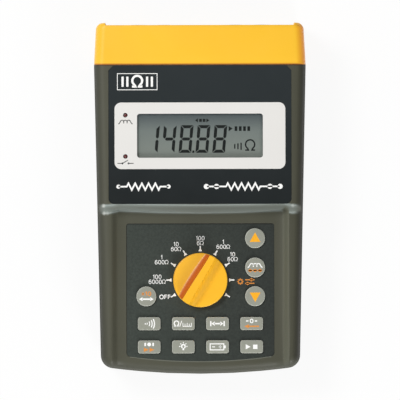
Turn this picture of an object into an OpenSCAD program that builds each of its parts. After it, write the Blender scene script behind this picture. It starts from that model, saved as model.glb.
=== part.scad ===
// Handheld micro ohmmeter: lies on its back, display up, sockets toward +Y.
// The origin is at the middle of the space it fills, on the surface it rests on.

/* [Case] */
// Length over everything, along Y
case_l = 257; // [254:0.5:270]
// Width where the end cap meets the housings
case_w = 155.4; // [153:0.2:162]
// Width at the bottom corners
case_w_bottom = 146.3; // [145:0.1:151]
// Height from the surface to the display face
case_h = 57; // [55:0.5:64]
// Height of the seam between the front and rear housings
seam_z = 27; // [26:0.5:30]
// Wall of the mouldings
wall = 3; // [2.5:0.1:3.4]
// Radius of the long shoulders
shoulder_r = 7; // [6:0.1:7.4]
// Draft of each side wall
side_draft = 0.8; // [0.4:0.1:1]
// Corner radius at the bottom, seen from the front
corner_r = 9.5; // [9.2:0.1:12]
// Radius of the bowed bottom edge
bottom_bow_r = 500; // [400:10:800]

/* [Front face] */
// Length of the yellow end cap
cap_l = 30.5; // [29:0.5:34]
// Length of the raised display section
display_l = 102; // [100:0.5:106]
// Depth of the keypad tray below the display face
tray_depth = 13; // [12:0.5:14]
// Depth of the side rails below the display face
rail_depth = 8; // [7:0.5:9]
// Width of each side rail
rail_w = 7.85; // [7.2:0.05:8.6]
// Width of the slope between a rail and the tray floor
tray_slope_w = 5.4; // [4:0.1:6.5]
// Length of the step slope at the middle
step_l = 6.7; // [5:0.1:8]
// Margin of tray floor beside the keypad panel
panel_margin = 5.9; // [4:0.1:7]

/* [Display] */
// Width of the front label
label_w = 133.4; // [130:0.2:134]
// Width of the white surround
surround_w = 124.7; // [122:0.2:128]
// Height of the white surround
surround_h = 48.6; // [46:0.1:52]
// Width of the display window
window_w = 91.8; // [84:0.2:94]
// Height of the display window
window_h = 32.1; // [28:0.1:34]
// Diameter of the indicator lamps
lamp_d = 3; // [2.5:0.1:3.6]

/* [Range knob] */
// Diameter of the knob
knob_d = 39.6; // [37:0.1:41]
// Height of the knob over the keypad panel
knob_h = 12.4; // [11:0.1:12.8]
// Width of the grip bar at its pointing end
bar_tip_w = 4.4; // [3:0.1:6]
// Width of the grip bar at its tail
bar_tail_w = 5.9; // [4:0.1:8]
// Direction in which the knob points, from +X
knob_angle = 60; // [0:30:90]
// Diameter of the switch shaft
shaft_d = 10; // [8:0.5:11]

/* [Buttons] */
// Diameter of the round buttons
round_d = 14.6; // [13:0.1:16]
// Width of the rectangular buttons
key_w = 16.6; // [14:0.1:18]
// Height of the rectangular buttons
key_h = 9.5; // [8:0.1:10.5]
// Corner radius of the rectangular buttons
key_r = 1.8; // [1:0.1:2.2]
// Spacing between the columns of rectangular buttons
key_pitch_x = 25; // [24:0.1:26]
// Spacing between the rows of rectangular buttons
key_pitch_y = 17; // [16:0.1:18]
// Height of the buttons over the keypad panel
key_proud = 1.6; // [1.2:0.1:2]
// Travel of the buttons
key_travel = 0.8; // [0.5:0.1:1]

/* [Sockets] */
// Bore of the lead sockets
socket_d = 4; // [3.8:0.05:4.2]
// Depth of the lead sockets
socket_l = 24; // [18:0.5:24.5]
// Spacing between the two sockets of a pair
socket_pitch = 19; // [18:0.1:20]
// Spacing between the two pairs, middle to middle
pair_pitch = 71; // [68:0.5:72]

/* [Batteries] */
// Diameter of a cell
cell_d = 14.5; // [13.5:0.1:14.5]
// Length of a cell
cell_l = 50.5; // [48:0.1:50.8]
// Number of cells
cell_count = 8; // [8:1:8]

/* [Tilt stand] */
// Width of the stand
stand_w = 66; // [56:0.5:72]
// Length of the stand from its hinge to its free end
stand_l = 68; // [55:0.5:70]
// Thickness of the stand
stand_t = 4.4; // [3.8:0.1:4.6]
// Diameter of the hinge pins
stand_pin_d = 3.6; // [3:0.1:3.8]

/* [Hidden] */

$fn = 48;
// Overrun of every cut
over = 1;
// Gap between pieces that are set into one another
seat_gap = 0.1;
// Gap round the moving keys
key_gap = 0.35;
// Gap between moving faces
move_gap = 0.3;
// Running clearance of a shaft, on the radius
run_gap = 0.05;

// Main places along Y
top_y = case_l / 2;
bottom_y = -case_l / 2;
cap_y = top_y - cap_l;
step_y = cap_y - display_l;
bow_center_y = bottom_y + bottom_bow_r;
// Middle of each bottom corner's arc
corner_x = case_w_bottom / 2 - corner_r;
corner_y = bow_center_y - sqrt(pow(bottom_bow_r - corner_r, 2) - pow(corner_x, 2));
bow_angle = asin(corner_x / (bottom_bow_r - corner_r));

// Main heights
foot_h = 1.5;
back_z = foot_h;
face_z = case_h;
rail_z = face_z - rail_depth;
tray_z = face_z - tray_depth;
face_wall = 3.2;
floor_t = 2.4;
floor_z = tray_z - floor_t;
back_wall = 3;
inner_z = back_z + back_wall;

// Main widths of the tray
tray_edge_x = case_w_bottom / 2 - rail_w;
tray_foot_x = tray_edge_x - tray_slope_w;
panel_x = tray_foot_x - panel_margin;

// Steps of the curved surfaces
arc_steps = 8;
corner_steps = 4;
step_rows = 18;
slope_cols = 5;
shoulder_inset = side_draft + shoulder_r;
back_r = 6.5;

function mix(a, b, t) = a + (b - a) * t;
function ease(t) = let(u = min(max(t, 0), 1)) u * u * (3 - 2 * u);
function half_w(y) = mix(case_w_bottom / 2, case_w / 2, (y - corner_y) / (cap_y - corner_y));
function corner_angle(k) = -(90 - bow_angle) * k / (2 * corner_steps);
function corner_pt(k, inset) = [
    corner_x + (corner_r - inset) * cos(corner_angle(k)),
    corner_y + (corner_r - inset) * sin(corner_angle(k))
];
function bow_y(x, inset) = bow_center_y - sqrt(pow(bottom_bow_r - inset, 2) - x * x);
function flip_x(p) = [-p[0], p[1]];
function backwards(list) = [for (i = [len(list) - 1:-1:0]) list[i]];

// Rows of points down each side, close together over the step
row_reach = 2.5;
rows_plain_shares = [0, 0.35, 0.7];
rows_low_shares = [0.15, 0.55, 1];
row_first_y = step_y + over;
row_last_y = step_y - step_l - row_reach;
side_rows = concat(
    [for (s = rows_plain_shares) mix(cap_y, row_first_y, s)],
    [for (i = [0:step_rows]) mix(row_first_y, row_last_y, i / step_rows)],
    [for (s = rows_low_shares) mix(row_last_y, corner_y, s)]
);
side_count = len(side_rows);

// Columns of points across the front, close together over the tray slopes
cols_plain_shares = [0, 0.4, 0.75, 0.9];
slope_step = tray_slope_w / slope_cols;
col_last_x = tray_edge_x - slope_step;
half_cols = concat(
    [for (s = cols_plain_shares) tray_foot_x * s],
    [for (i = [0:slope_cols - 1]) tray_foot_x + slope_step * i]
);
half_count = len(half_cols);
// Fractions of the last column, from the right column to the left one
col_fractions = concat(
    [for (i = [half_count - 1:-1:0]) half_cols[i] / col_last_x],
    [for (i = [1:half_count - 1]) -half_cols[i] / col_last_x]
);

// Tangent point of the bowed edge with the corner
function bow_tangent_x(inset) = corner_x + (corner_r - inset) * sin(bow_angle);

// Right side of the outline down to the middle of the corner
function outline_right(inset) = concat(
    [for (y = side_rows) [half_w(y) - inset, y]],
    [for (k = [1:corner_steps]) corner_pt(k, inset)]
);
// Bottom of the outline between the middles of the two corners
function outline_bottom(inset) = concat(
    [for (k = [corner_steps + 1:2 * corner_steps - 1]) corner_pt(k, inset)],
    [for (f = col_fractions) let(x = f * bow_tangent_x(inset)) [x, bow_y(x, inset)]],
    [for (k = [2 * corner_steps - 1:-1:corner_steps + 1]) flip_x(corner_pt(k, inset))]
);
// Open line from the right end of the cap joint round the bottom to the left end
function outline(inset) = concat(
    outline_right(inset),
    outline_bottom(inset),
    backwards([for (p = outline_right(inset)) flip_x(p)])
);

// Height of the moulded front at a place: face, step, rails and tray in one surface
tray_round = 3;
step_sag = 2.6;
// How much of the slope its rounded crest and its hollow foot take up
step_crest_share = 0.42;
step_foot_share = 0.26;
function ramp(t, crest, foot) = let(u = min(max(t, 0), 1), slope = 2 / (2 - crest - foot))
    u < crest ? slope * u * u / (2 * crest)
    : u > 1 - foot ? 1 - slope * (1 - u) * (1 - u) / (2 * foot)
    : slope * (u - crest / 2);
function step_end(x) = step_l - step_sag * pow(min(abs(x), tray_foot_x) / tray_foot_x, 2)
    + (step_sag + over) * ease((abs(x) - tray_foot_x) / tray_slope_w);
function step_part(x, y) = (face_z - tray_z)
    * (1 - ramp((step_y - y) / step_end(x), step_crest_share, step_foot_share));
function rail_part(x) = (rail_z - tray_z) * ease((abs(x) - tray_foot_x) / tray_slope_w);
function front_z(x, y) = min(
    face_z,
    tray_z + pow(pow(step_part(x, y), tray_round) + pow(rail_part(x), tray_round), 1 / tray_round)
);

// Rings of the front: seam, then the shoulder arc from the wall to the top
function arc_inset(k, r) = side_draft + r * (1 - cos(90 * k / arc_steps));
function arc_drop(k, r) = r * (1 - sin(90 * k / arc_steps));
function front_ring(k) = [
    for (p = outline(arc_inset(k, shoulder_r)))
        [p[0], p[1], front_z(p[0], p[1]) - arc_drop(k, shoulder_r)]
];
function seam_ring() = [for (p = outline(0)) [p[0], p[1], seam_z]];

right_count = side_count + corner_steps;
bottom_count = len(outline_bottom(0));
ring_count = 2 * right_count + bottom_count;
ring_total = arc_steps + 2;
patch_cols = bottom_count + 2;
inner_right = outline_right(shoulder_inset);
inner_bottom = concat(
    [inner_right[right_count - 1]],
    outline_bottom(shoulder_inset),
    [flip_x(inner_right[right_count - 1])]
);
last_straight = side_count - 2;

// Place of one inner point of the front surface, row i, column j
function straight_x(i, j) =
    let(edge = inner_right[i][0], extra = corner_steps, last = patch_cols - 1)
    j < extra ? mix(edge, col_last_x, j / extra)
    : j > last - extra ? -mix(edge, col_last_x, (last - j) / extra)
    : col_fractions[j - extra] * col_last_x;
function patch_xy(i, j) =
    i <= last_straight ? [straight_x(i, j), side_rows[i]]
    : let(
        from_y = side_rows[last_straight],
        t = (inner_right[i][1] - from_y) / (inner_right[right_count - 1][1] - from_y)
    ) [
        mix(straight_x(last_straight, j), inner_bottom[j][0], t),
        mix(from_y, inner_bottom[j][1], t)
    ];
function patch_id(i, j) =
    j == 0 ? (ring_total - 1) * ring_count + i
    : j == patch_cols - 1 ? ring_total * ring_count - 1 - i
    : i == right_count - 1 ? (ring_total - 1) * ring_count + right_count + j - 1
    : ring_total * ring_count + i * (patch_cols - 2) + j - 1;

function band_faces(rings, count) = [
    for (k = [0:rings - 2], i = [0:count - 2], half = [0, 1])
        let(a = k * count + i, b = a + 1, c = a + count, d = b + count)
        half == 0 ? [a, b, d] : [a, d, c]
];

module front_body() {
    points = concat(
        seam_ring(),
        [for (k = [0:arc_steps], p = front_ring(k)) p],
        [for (i = [0:right_count - 2], j = [1:patch_cols - 2])
            let(p = patch_xy(i, j)) [p[0], p[1], front_z(p[0], p[1])]]
    );
    faces = concat(
        band_faces(ring_total, ring_count),
        [for (i = [0:right_count - 2], j = [0:patch_cols - 2], half = [0, 1])
            half == 0
            ? [patch_id(i, j), patch_id(i + 1, j), patch_id(i + 1, j + 1)]
            : [patch_id(i, j), patch_id(i + 1, j + 1), patch_id(i, j + 1)]],
        [backwards([for (i = [0:ring_count - 1]) i])],
        [concat(
            [for (k = [0:ring_total - 1]) k * ring_count],
            [for (j = [1:patch_cols - 2]) patch_id(0, j)],
            [for (k = [ring_total - 1:-1:0]) (k + 1) * ring_count - 1]
        )]
    );
    polyhedron(points, faces);
}

// Rings of the rear: seam, then the arc down to the flat back
function rear_ring(k) = [
    for (p = outline(arc_inset(k, back_r)))
        [p[0], p[1], back_z + arc_drop(k, back_r)]
];

module rear_body() {
    points = concat(seam_ring(), [for (k = [0:arc_steps], p = rear_ring(k)) p]);
    faces = concat(
        [for (f = band_faces(ring_total, ring_count)) backwards(f)],
        [[for (i = [0:ring_count - 1]) i]],
        [backwards([for (i = [0:ring_count - 1]) (ring_total - 1) * ring_count + i])],
        [concat(
            [for (k = [ring_total - 1:-1:0]) k * ring_count],
            [for (k = [0:ring_total - 1]) (k + 1) * ring_count - 1]
        )]
    );
    polyhedron(points, faces);
}

// Closed cross-section of the case, from the back round the front
function section_right(w, in_z) = concat(
    [for (k = [arc_steps:-1:0]) [w - arc_inset(k, back_r), back_z + in_z + arc_drop(k, back_r)]],
    [[w, seam_z]],
    [for (k = [0:arc_steps]) [w - arc_inset(k, shoulder_r), face_z - in_z - arc_drop(k, shoulder_r)]]
);
function section(w, in_z) = concat(
    section_right(w, in_z),
    backwards([for (p = section_right(w, in_z)) flip_x(p)])
);

// A prism along Y from the case's cross-section, narrowed by one inset all round
module section_prism(inset, from_y, to_y) {
    translate([0, to_y, 0]) rotate([90, 0, 0])
        linear_extrude(to_y - from_y) polygon(section(half_w(cap_y) - inset, inset));
}

module rounded_rect(w, h, r) {
    for (x = [-1, 1], y = [-1, 1]) translate([x * (w / 2 - r), y * (h / 2 - r)]) circle(r);
    square([w - 2 * r, h], center = true);
    square([w, h - 2 * r], center = true);
}
module slab(w, h, r, from_z, to_z) {
    translate([0, 0, from_z]) linear_extrude(to_z - from_z) rounded_rect(w, h, r);
}
module post(r, from_z, to_z) {
    translate([0, 0, from_z]) cylinder(to_z - from_z, r, r);
}
module at_all(places) {
    for (p = places) translate([p[0], p[1], 0]) children();
}
function both_sides(x, rows) = [for (y = rows, side = [-1, 1]) [side * x, y]];

// Case screws
case_screw_x = 62;
screw_top_in = 14;
screw_mid_in = 12.3;
screw_low_in = 2.9;
case_screw_ys = [cap_y - screw_top_in, step_y - screw_mid_in, corner_y + screw_low_in];
case_screws_at = both_sides(case_screw_x, case_screw_ys);
case_screw_r = 1.5;
case_head_r = 2.9;
case_head_h = 2.2;
screw_short = 7.3;
well_r = 3.2;
well_h = 9;
well_wall = 1.4;
pillar_r = 3.5;
head_z = back_z + well_h - case_head_h;
case_screw_l = floor_z - screw_short - head_z;

// Board and display screws
small_screw_r = 1;
small_head_r = 2;
small_head_h = 1.4;
small_screw_l = 5;
small_boss_r = 2.8;
board_t = 1.6;

module small_screws(places, board_z) {
    at_all(places) {
        post(small_head_r, board_z - small_head_h, board_z);
        post(small_screw_r, board_z - small_head_h, board_z + small_screw_l);
    }
}
// Cross recess in the underside of a screw head
cross_arm_share = 0.62;
cross_w_share = 0.26;
module cross(head_r, from_z) {
    arm = head_r * cross_arm_share;
    half = head_r * cross_w_share / 2;
    translate([-arm, -half, from_z - over]) cube([2 * arm, 2 * half, over + arm / 2]);
    translate([-half, -arm, from_z - over]) cube([2 * half, 2 * arm, over + arm / 2]);
}
// Boss that hangs from the front wall down to a board, with its pilot hole cut later
module bosses(places, from_z, to_z) {
    at_all(places) post(small_boss_r, from_z, to_z);
}
module pilot_holes(places, board_z) {
    at_all(places) post(small_screw_r + run_gap, board_z - over, board_z + small_screw_l + seat_gap);
}

// Front label and display
label_t = 0.5;
label_recess = 0.6;
label_top_in = 0.8;
label_low_in = 0.3;
label_corner_cut = 3.5;
label_corner_r = 4;
label_z = face_z - label_recess;
display_down = 52;
display_stack = 6.6;
label_top_y = cap_y - label_top_in;
label_low_y = step_y + label_low_in;
display_y = cap_y - display_down;
surround_r = 4.8;
window_r = 2;
lens_t = 0.85;
border_w = (surround_w - window_w) / 2;
lens_rim_share = 0.18;
lens_rim = border_w * lens_rim_share;
lens_z = label_z - lens_t - seat_gap / 2;
pocket_z = face_z - face_wall + over;
pocket_rim_share = 0.28;
pocket_rim = border_w * pocket_rim_share;
lcd_t = 2;
lcd_rim_share = 0.24;
lcd_rim = border_w * lcd_rim_share;
holder_wall_share = 0.12;
holder_wall = border_w * holder_wall_share;
lcd_top_z = pocket_z - seat_gap;
lcd_z = lcd_top_z - lcd_t;
display_top_z = face_z - face_wall - display_stack;
display_board_z = display_top_z - board_t;
display_board_w = 116;
display_board_h = 64;
display_boss_in = 3.5;
display_screws_at = [for (x = [-1, 1], y = [-1, 1])
    [x * (display_board_w / 2 - display_boss_in), display_y + y * (display_board_h / 2 - display_boss_in)]];
lamp_share = 0.52;
lamp_pitch = 30.1;
lamp_x = -window_w / 2 - border_w * lamp_share;
lamp_hole_gap = 0.15;
lamp_ys = [display_y + lamp_pitch / 2, display_y - lamp_pitch / 2];

// Label outline: two cut corners at the top, two round ones at the step
module label_plan(grow) {
    w = label_w / 2 + grow;
    top = label_top_y + grow;
    low = label_low_y - grow;
    tall = top - low + 2 * label_corner_r;
    intersection() {
        translate([0, low + tall / 2]) rounded_rect(2 * w, tall, label_corner_r);
        polygon([
            [-w, low],
            [-w, top - label_corner_cut],
            [-w + label_corner_cut, top],
            [w - label_corner_cut, top],
            [w, top - label_corner_cut],
            [w, low]
        ]);
    }
}

// Keypad: panel, keys and what is under them
panel_t = 0.6;
panel_recess = 0.9;
panel_low_in = 9.7;
panel_sag = 3.8;
panel_r = 1.8;
panel_low_r = 2.6;
lip_w = 0.7;
panel_down = 14.2;
panel_top_y = step_y - panel_down;
panel_low_y = bottom_y + panel_low_in;
panel_bow_r = (pow(panel_x, 2) + pow(panel_sag, 2)) / (2 * panel_sag);
panel_bow_y = panel_low_y + panel_bow_r;
// Middle of each lower corner's arc, and where that arc meets the bow
panel_corner_x = panel_x - panel_low_r;
panel_corner_y = panel_bow_y - sqrt(pow(panel_bow_r - panel_low_r, 2) - pow(panel_corner_x, 2));
panel_tangent_x = panel_corner_x * panel_bow_r / (panel_bow_r - panel_low_r);
pocket_floor_z = tray_z - panel_recess;
panel_z = pocket_floor_z + panel_t;
flange_w = 1;
flange_t = 1.2;
flange_gap = 0.2;
key_edge = 0.7;
key_top_z = panel_z + key_proud;
key_low_z = floor_z - flange_gap - flange_t;
board_drop = 5.1;
board_top_z = floor_z - board_drop;
main_board_z = board_top_z - board_t;
main_board_w = 114;
main_board_top_in = 2.5;
main_board_low_in = 12.6;
main_top_y = panel_top_y + main_board_top_in;
main_low_y = bottom_y + main_board_low_in;
board_screw_x = 53;
board_screw_rows_shares = [0.07, 0.47, 0.93];
board_screws_at = both_sides(board_screw_x, [for (s = board_screw_rows_shares) mix(main_top_y, main_low_y, s)]);
mat_t = 1.2;
mat_w = 99;
dome_r = 3.5;
dome_top_z = key_low_z - key_travel - flange_gap;

// Places of the keys, from the step down and from the middle out
round_x = 40.1;
range_key_x = 39.5;
round_1_down = 25;
round_2_down = 46.4;
round_3_down = 67.4;
keys_down = 87.4;
key_columns = 4;
round_rows = [step_y - round_1_down, step_y - round_2_down, step_y - round_3_down];
key_row_1_y = step_y - keys_down;
key_row_2_y = key_row_1_y - key_pitch_y;
round_keys_at = [
    [round_x, round_rows[0]],
    [round_x, round_rows[1]],
    [round_x, round_rows[2]],
    [-range_key_x, round_rows[2]]
];
function key_at(column, row) = [
    (column - (key_columns - 1) / 2) * key_pitch_x,
    row == 0 ? key_row_1_y : key_row_2_y
];
keys_at = [for (row = [0, 1], column = [0:key_columns - 1]) key_at(column, row)];

module panel_plan(grow) {
    w = panel_x + grow;
    top = panel_top_y + grow;
    low = panel_low_y - over;
    intersection() {
        translate([0, panel_bow_y]) circle(panel_bow_r + grow, $fn = 360);
        union() {
            translate([-w, panel_corner_y]) square([2 * w, top - panel_r - panel_corner_y]);
            translate([-w + panel_r, top - 2 * panel_r]) square([2 * (w - panel_r), 2 * panel_r]);
            for (x = [-1, 1]) translate([x * (w - panel_r), top - panel_r]) circle(panel_r);
            translate([-panel_tangent_x, low]) square([2 * panel_tangent_x, panel_corner_y + over - low]);
            for (x = [-1, 1]) translate([x * panel_corner_x, panel_corner_y]) circle(panel_low_r + grow);
        }
    }
}
// Sloped lip along the bowed edge of the panel's recess
module panel_lip() {
    lip_r = panel_bow_r + seat_gap;
    intersection() {
        translate([0, panel_bow_y, 0]) rotate_extrude($fn = 360) polygon([
            [panel_bow_r - over, panel_z],
            [lip_r, panel_z],
            [lip_r + lip_w, tray_z],
            [lip_r + lip_w, tray_z + over],
            [panel_bow_r - over, tray_z + over]
        ]);
        translate([-panel_tangent_x, panel_low_y - lip_w - over, floor_z])
            cube([2 * panel_tangent_x, panel_sag + lip_w + over, face_z - floor_z]);
    }
}
module key_holes(grow, from_z, to_z) {
    at_all(round_keys_at) post(round_d / 2 + grow, from_z, to_z);
    at_all(keys_at) slab(key_w + 2 * grow, key_h + 2 * grow, key_r + grow, from_z, to_z);
}

// Range switch
knob_down = 55.5;
knob_y = step_y - knob_down;
knob_at = [0, knob_y];
knob_gap = 0.4;
knob_z = panel_z + knob_gap;
knob_top_z = panel_z + knob_h;
skirt_h = 4.6;
skirt_edge = 0.8;
skirt_wall = 2.4;
skirt_top_t = 1.6;
hub_r = shaft_d / 2 + skirt_wall;
shaft_r = shaft_d / 2;
shaft_top_in = 2.6;
bushing_r = 8.6;
bushing_h = 1.6;
bushing_z = floor_z - bushing_h;
rotor_r = 15;
notch_depth = 0.9;
notch_count = 12;
rotor_t = 2.2;
rotor_gap = 0.2;
rotor_top_z = bushing_z - rotor_gap;
rotor_z = rotor_top_z - rotor_t;
pad_t = 0.1;
pad_in_r = 8;
pad_out_r = 13;
pad_slot_w = 1.2;
wiper_gap = 0.3;
wiper_w = 1.4;
wiper_l = 4;
wiper_count = 3;
spring_t = 0.6;
spring_h = 1.2;
spring_bump_r = 1.6;
spring_half_l = 9;
spring_eye_r = 2;
spring_pin_r = 1.2;
spring_z = rotor_z + (rotor_t - spring_h) / 2;
spring_off = rotor_r + move_gap + spring_bump_r;
switch_hole_r = 22.5;

// Bar along X: its top runs from the tail to the tip, with a hollow flank on each side
bar_right = 1.5;
bar_sink = 0.2;
bar_reach = knob_d / 2 - skirt_edge / 2;
flank_left = 6.1;
flank_left_end = 3.9;
flank_right = 7.5;
flank_right_end = 5;
bar_stations = 12;
flank_steps = 5;
function bar_flank(t, middle, end) = mix(middle, end, t * t);
function bar_section(t) =
    let(
        left = mix(bar_tail_w, bar_tip_w, ease((t + 1) / 2)) - bar_right,
        base_z = knob_z + skirt_h - bar_sink,
        rise = knob_top_z - base_z,
        f_left = bar_flank(t, flank_left, flank_left_end),
        f_right = bar_flank(t, flank_right, flank_right_end)
    )
    concat(
        [[-bar_right - f_right, base_z - skirt_edge]],
        [for (k = [0:flank_steps])
            let(a = 90 * k / flank_steps) [-bar_right - f_right * (1 - sin(a)), base_z + rise * (1 - cos(a))]],
        [for (k = [flank_steps:-1:0])
            let(a = 90 * k / flank_steps) [left + f_left * (1 - sin(a)), base_z + rise * (1 - cos(a))]],
        [[left + f_left, base_z - skirt_edge]]
    );
module grip_bar() {
    count = len(bar_section(0));
    reach = knob_d / 2 + over;
    points = [for (i = [0:bar_stations], p = bar_section(-1 + 2 * i / bar_stations))
        [-reach + 2 * reach * i / bar_stations, p[0], p[1]]];
    faces = concat(
        [for (i = [0:bar_stations - 1], k = [0:count - 1], half = [0, 1])
            let(a = i * count + k, b = i * count + (k + 1) % count, c = a + count, d = b + count)
            half == 0 ? [a, b, d] : [a, d, c]],
        [backwards([for (k = [0:count - 1]) k])],
        [[for (k = [0:count - 1]) bar_stations * count + k]]
    );
    polyhedron(points, faces);
}

// Sockets and the end of the cap
end_r = 4.5;
end_edge = 1.5;
cap_taper = 1.4;
cheek_w = 7.3;
cheek_h = 1.7;
collar_proud = 0.6;
end_y = top_y - cheek_h;
end_wall = 3.5;
end_in_y = end_y - end_wall;
tongue_l = 3;
tongue_t = 1.3;
tongue_in = face_wall + seat_gap;
socket_up = 0.75;
socket_z = (back_z + face_z) / 2 + socket_up;
socket_xs = [for (pair = [-1, 1], one = [-1, 1]) pair * pair_pitch / 2 + one * socket_pitch / 2];
collar_r = 6.5;
collar_barrel_r = 5;
collar_barrel_l = 10;
collar_face_y = end_y + collar_proud;
collar_flange_t = 1.9;
sleeve_r = 3.5;
sleeve_end = 2;
sleeve_in = 0.3;
sleeve_face_y = collar_face_y - sleeve_in;
sleeve_back_y = sleeve_face_y - socket_l - sleeve_end;
tail_r = 1;
tail_l = 3.6;
end_panel_w = 116;
end_panel_h = 27;
end_panel_t = 1.4;
end_panel_r = 3;
inlet_r = 5.5;
inlet_bore_r = 2.85;
inlet_bore_l = 9.5;
inlet_pin_r = 1.05;
inlet_body = 12;
terminal_board_w = 110;
terminal_board_h = 24;
terminal_board_y = sleeve_back_y - tail_l + board_t / 2;

// A revolved piece or a rounded plate that points out of the end face, along +Y
module out_of_end(x, z, y) {
    translate([x, y, z]) rotate([-90, 0, 0]) children();
}
module end_post(x, z, r, from_y, to_y) {
    out_of_end(x, z, from_y) cylinder(to_y - from_y, r, r);
}

// Battery compartment, under the keypad
cell_gap = 0.2;
cell_rows = 2;
cells_across = cell_count / cell_rows;
contact_room = 1.8;
contact_t = 0.4;
divider_t = 1.5;
tub_wall = 1.2;
tub_w = cells_across * cell_d + (cells_across + 1) * cell_gap;
tub_l = cell_rows * (cell_l + 2 * contact_room) + divider_t;
tub_low_in = 16.6;
tub_y = bottom_y + tub_low_in + tub_l / 2;
cell_z = inner_z + cell_gap + cell_d / 2;
tub_top_z = cell_z + cell_d / 2 + cell_gap;
cell_row_off = (cell_l + 2 * contact_room + divider_t) / 2;
cover_t = 1.5;
cover_margin_x = 2.6;
cover_margin_y = 7;
cover_r = 4;
cover_screw_x = 22;
cover_screw_in = 3.2;
cover_pillar_r = 2.6;
cover_pillar_h = 5;
cover_head_r = 2;
cover_head_h = 1;
cover_screws_at = [for (x = [-1, 1], y = [-1, 1])
    [x * cover_screw_x, tub_y + y * (tub_l / 2 + tub_wall + cover_screw_in)]];
cover_w = tub_w + 2 * cover_margin_x;
cover_l = tub_l + 2 * cover_margin_y;

// Tilt stand, hinged near the top of the back
hinge_in = 14;
hinge_y = cap_y - hinge_in;
stand_in = 0.525;
stand_low_z = back_z + stand_in;
stand_mid_z = stand_low_z + stand_t / 2;
stand_recess_z = stand_low_z + stand_t + move_gap;
stand_floor_t = 2;
stand_pin_r = stand_pin_d / 2;
stand_pin_l = 4.5;
hinge_block_w = 7;
hinge_block_l = 12;
hinge_end = stand_t / 2 + move_gap;
scoop_w = 24;
scoop_l = 9;
stand_r = 3;
stand_relief = 1.2;
stand_rim = 7;
stand_free_y = hinge_y - stand_l;

// Rubber feet
foot_r = 6;
foot_seat = 1.3;
foot_x = 48;
foot_edge = 0.6;
foot_top_in = 10;
foot_low_in = 17.5;
foot_rows = [cap_y - foot_top_in, bottom_y + foot_low_in];
feet_at = both_sides(foot_x, foot_rows);

// Parts on the underside of the main board
buzzer_r = 6;
buzzer_h = 6.5;
shunt_w = 6;
shunt_l = 26;
shunt_t = 1.5;
sink_w = 42;
sink_l = 24;
sink_base_t = 2.5;
sink_fin_t = 1.4;
sink_fins = 7;
fuse_r = 2.6;
fuse_l = 20;
fuse_clip_l = 4;
fuse_drop = 4;
block_w = 44;
block_l = 9;
// Room between the main board and the battery holder, and how much of it the tall parts take
under_room = main_board_z - tub_top_z - tub_wall;
shunt_h_share = 0.49;
sink_h_share = 0.63;
block_h_share = 0.52;
shunt_h = under_room * shunt_h_share;
sink_h = under_room * sink_h_share;
block_h = under_room * block_h_share;
wire_r = 0.9;
wire_pitch = 10;

// Inside of the housings: outline narrowed by one inset, straight at the cap joint
module inside_plan(inset, from_y) {
    side_x = half_w(corner_y) - inset;
    cut = (corner_r - inset) / 2;
    low_y = bow_y(side_x, inset) + inset / 2;
    mid_y = bow_y(side_x / 2, inset) + inset / 2;
    right = [
        [half_w(from_y) - inset, from_y],
        [side_x, corner_y - cut],
        [side_x - cut, low_y],
        [side_x / 2, mid_y]
    ];
    polygon(concat(right, backwards([for (p = right) flip_x(p)])));
}

case_colour = [0.33, 0.34, 0.29];
dark_colour = [0.17, 0.19, 0.19];
yellow_colour = [1, 0.79, 0.24];
key_colour = [0.61, 0.62, 0.57];
board_colour = [0.1, 0.33, 0.2];
steel_colour = [0.7, 0.7, 0.72];

display_cavity_in = 4.2;
lip_h = 2;
lip_t = 1.2;
lip_in = wall + 2 * seat_gap;

// Posts that carry the eyes of the detent springs
spring_pins_at = [for (side = [-1, 1], end = [-1, 1]) [end * spring_half_l, knob_y + side * (spring_off)]];

module front_housing() {
    color(case_colour) difference() {
        union() {
            difference() {
                front_body();
                translate([0, 0, seam_z - over])
                    linear_extrude(floor_z - seam_z + over) inside_plan(wall, cap_y + over);
                translate([0, 0, seam_z - over])
                    linear_extrude(face_z - face_wall - seam_z + over) intersection() {
                        inside_plan(wall, cap_y + over);
                        translate([-case_w / 2, step_y + display_cavity_in]) square([case_w, case_l]);
                    }
            }
            at_all([for (p = case_screws_at) if (p[1] < step_y) p]) post(pillar_r, seam_z, floor_z + over);
            at_all([for (p = case_screws_at) if (p[1] > step_y) p])
                post(pillar_r, seam_z, face_z - face_wall + over);
            bosses(board_screws_at, board_top_z, floor_z + over);
            bosses(display_screws_at, display_top_z, face_z - face_wall + over);
            translate([0, knob_y, 0]) post(bushing_r, bushing_z, floor_z + over);
            at_all(spring_pins_at) post(spring_pin_r, spring_z, floor_z + over);
        }
        translate([0, 0, label_z]) linear_extrude(label_recess + over) label_plan(seat_gap);
        translate([0, display_y, 0]) {
            slab(window_w, window_h, window_r, floor_z, face_z + over);
            slab(window_w + 2 * lens_rim, window_h + 2 * lens_rim, window_r, lens_z - seat_gap / 2, face_z);
            slab(window_w + 2 * pocket_rim, window_h + 2 * pocket_rim, window_r,
                face_z - face_wall - over, pocket_z);
        }
        at_all([for (y = lamp_ys) [lamp_x, y]]) post(lamp_d / 2 + lamp_hole_gap, floor_z, face_z + over);
        translate([0, 0, pocket_floor_z]) linear_extrude(panel_recess + over) panel_plan(seat_gap);
        panel_lip();
        key_holes(key_gap, floor_z - over, tray_z);
        translate([0, knob_y, 0]) post(shaft_r + run_gap, bushing_z - over, tray_z);
        pilot_holes(board_screws_at, main_board_z);
        pilot_holes(display_screws_at, display_board_z);
        at_all(case_screws_at) post(case_screw_r + run_gap, seam_z - over, head_z + case_screw_l + seat_gap);
    }
}

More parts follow.
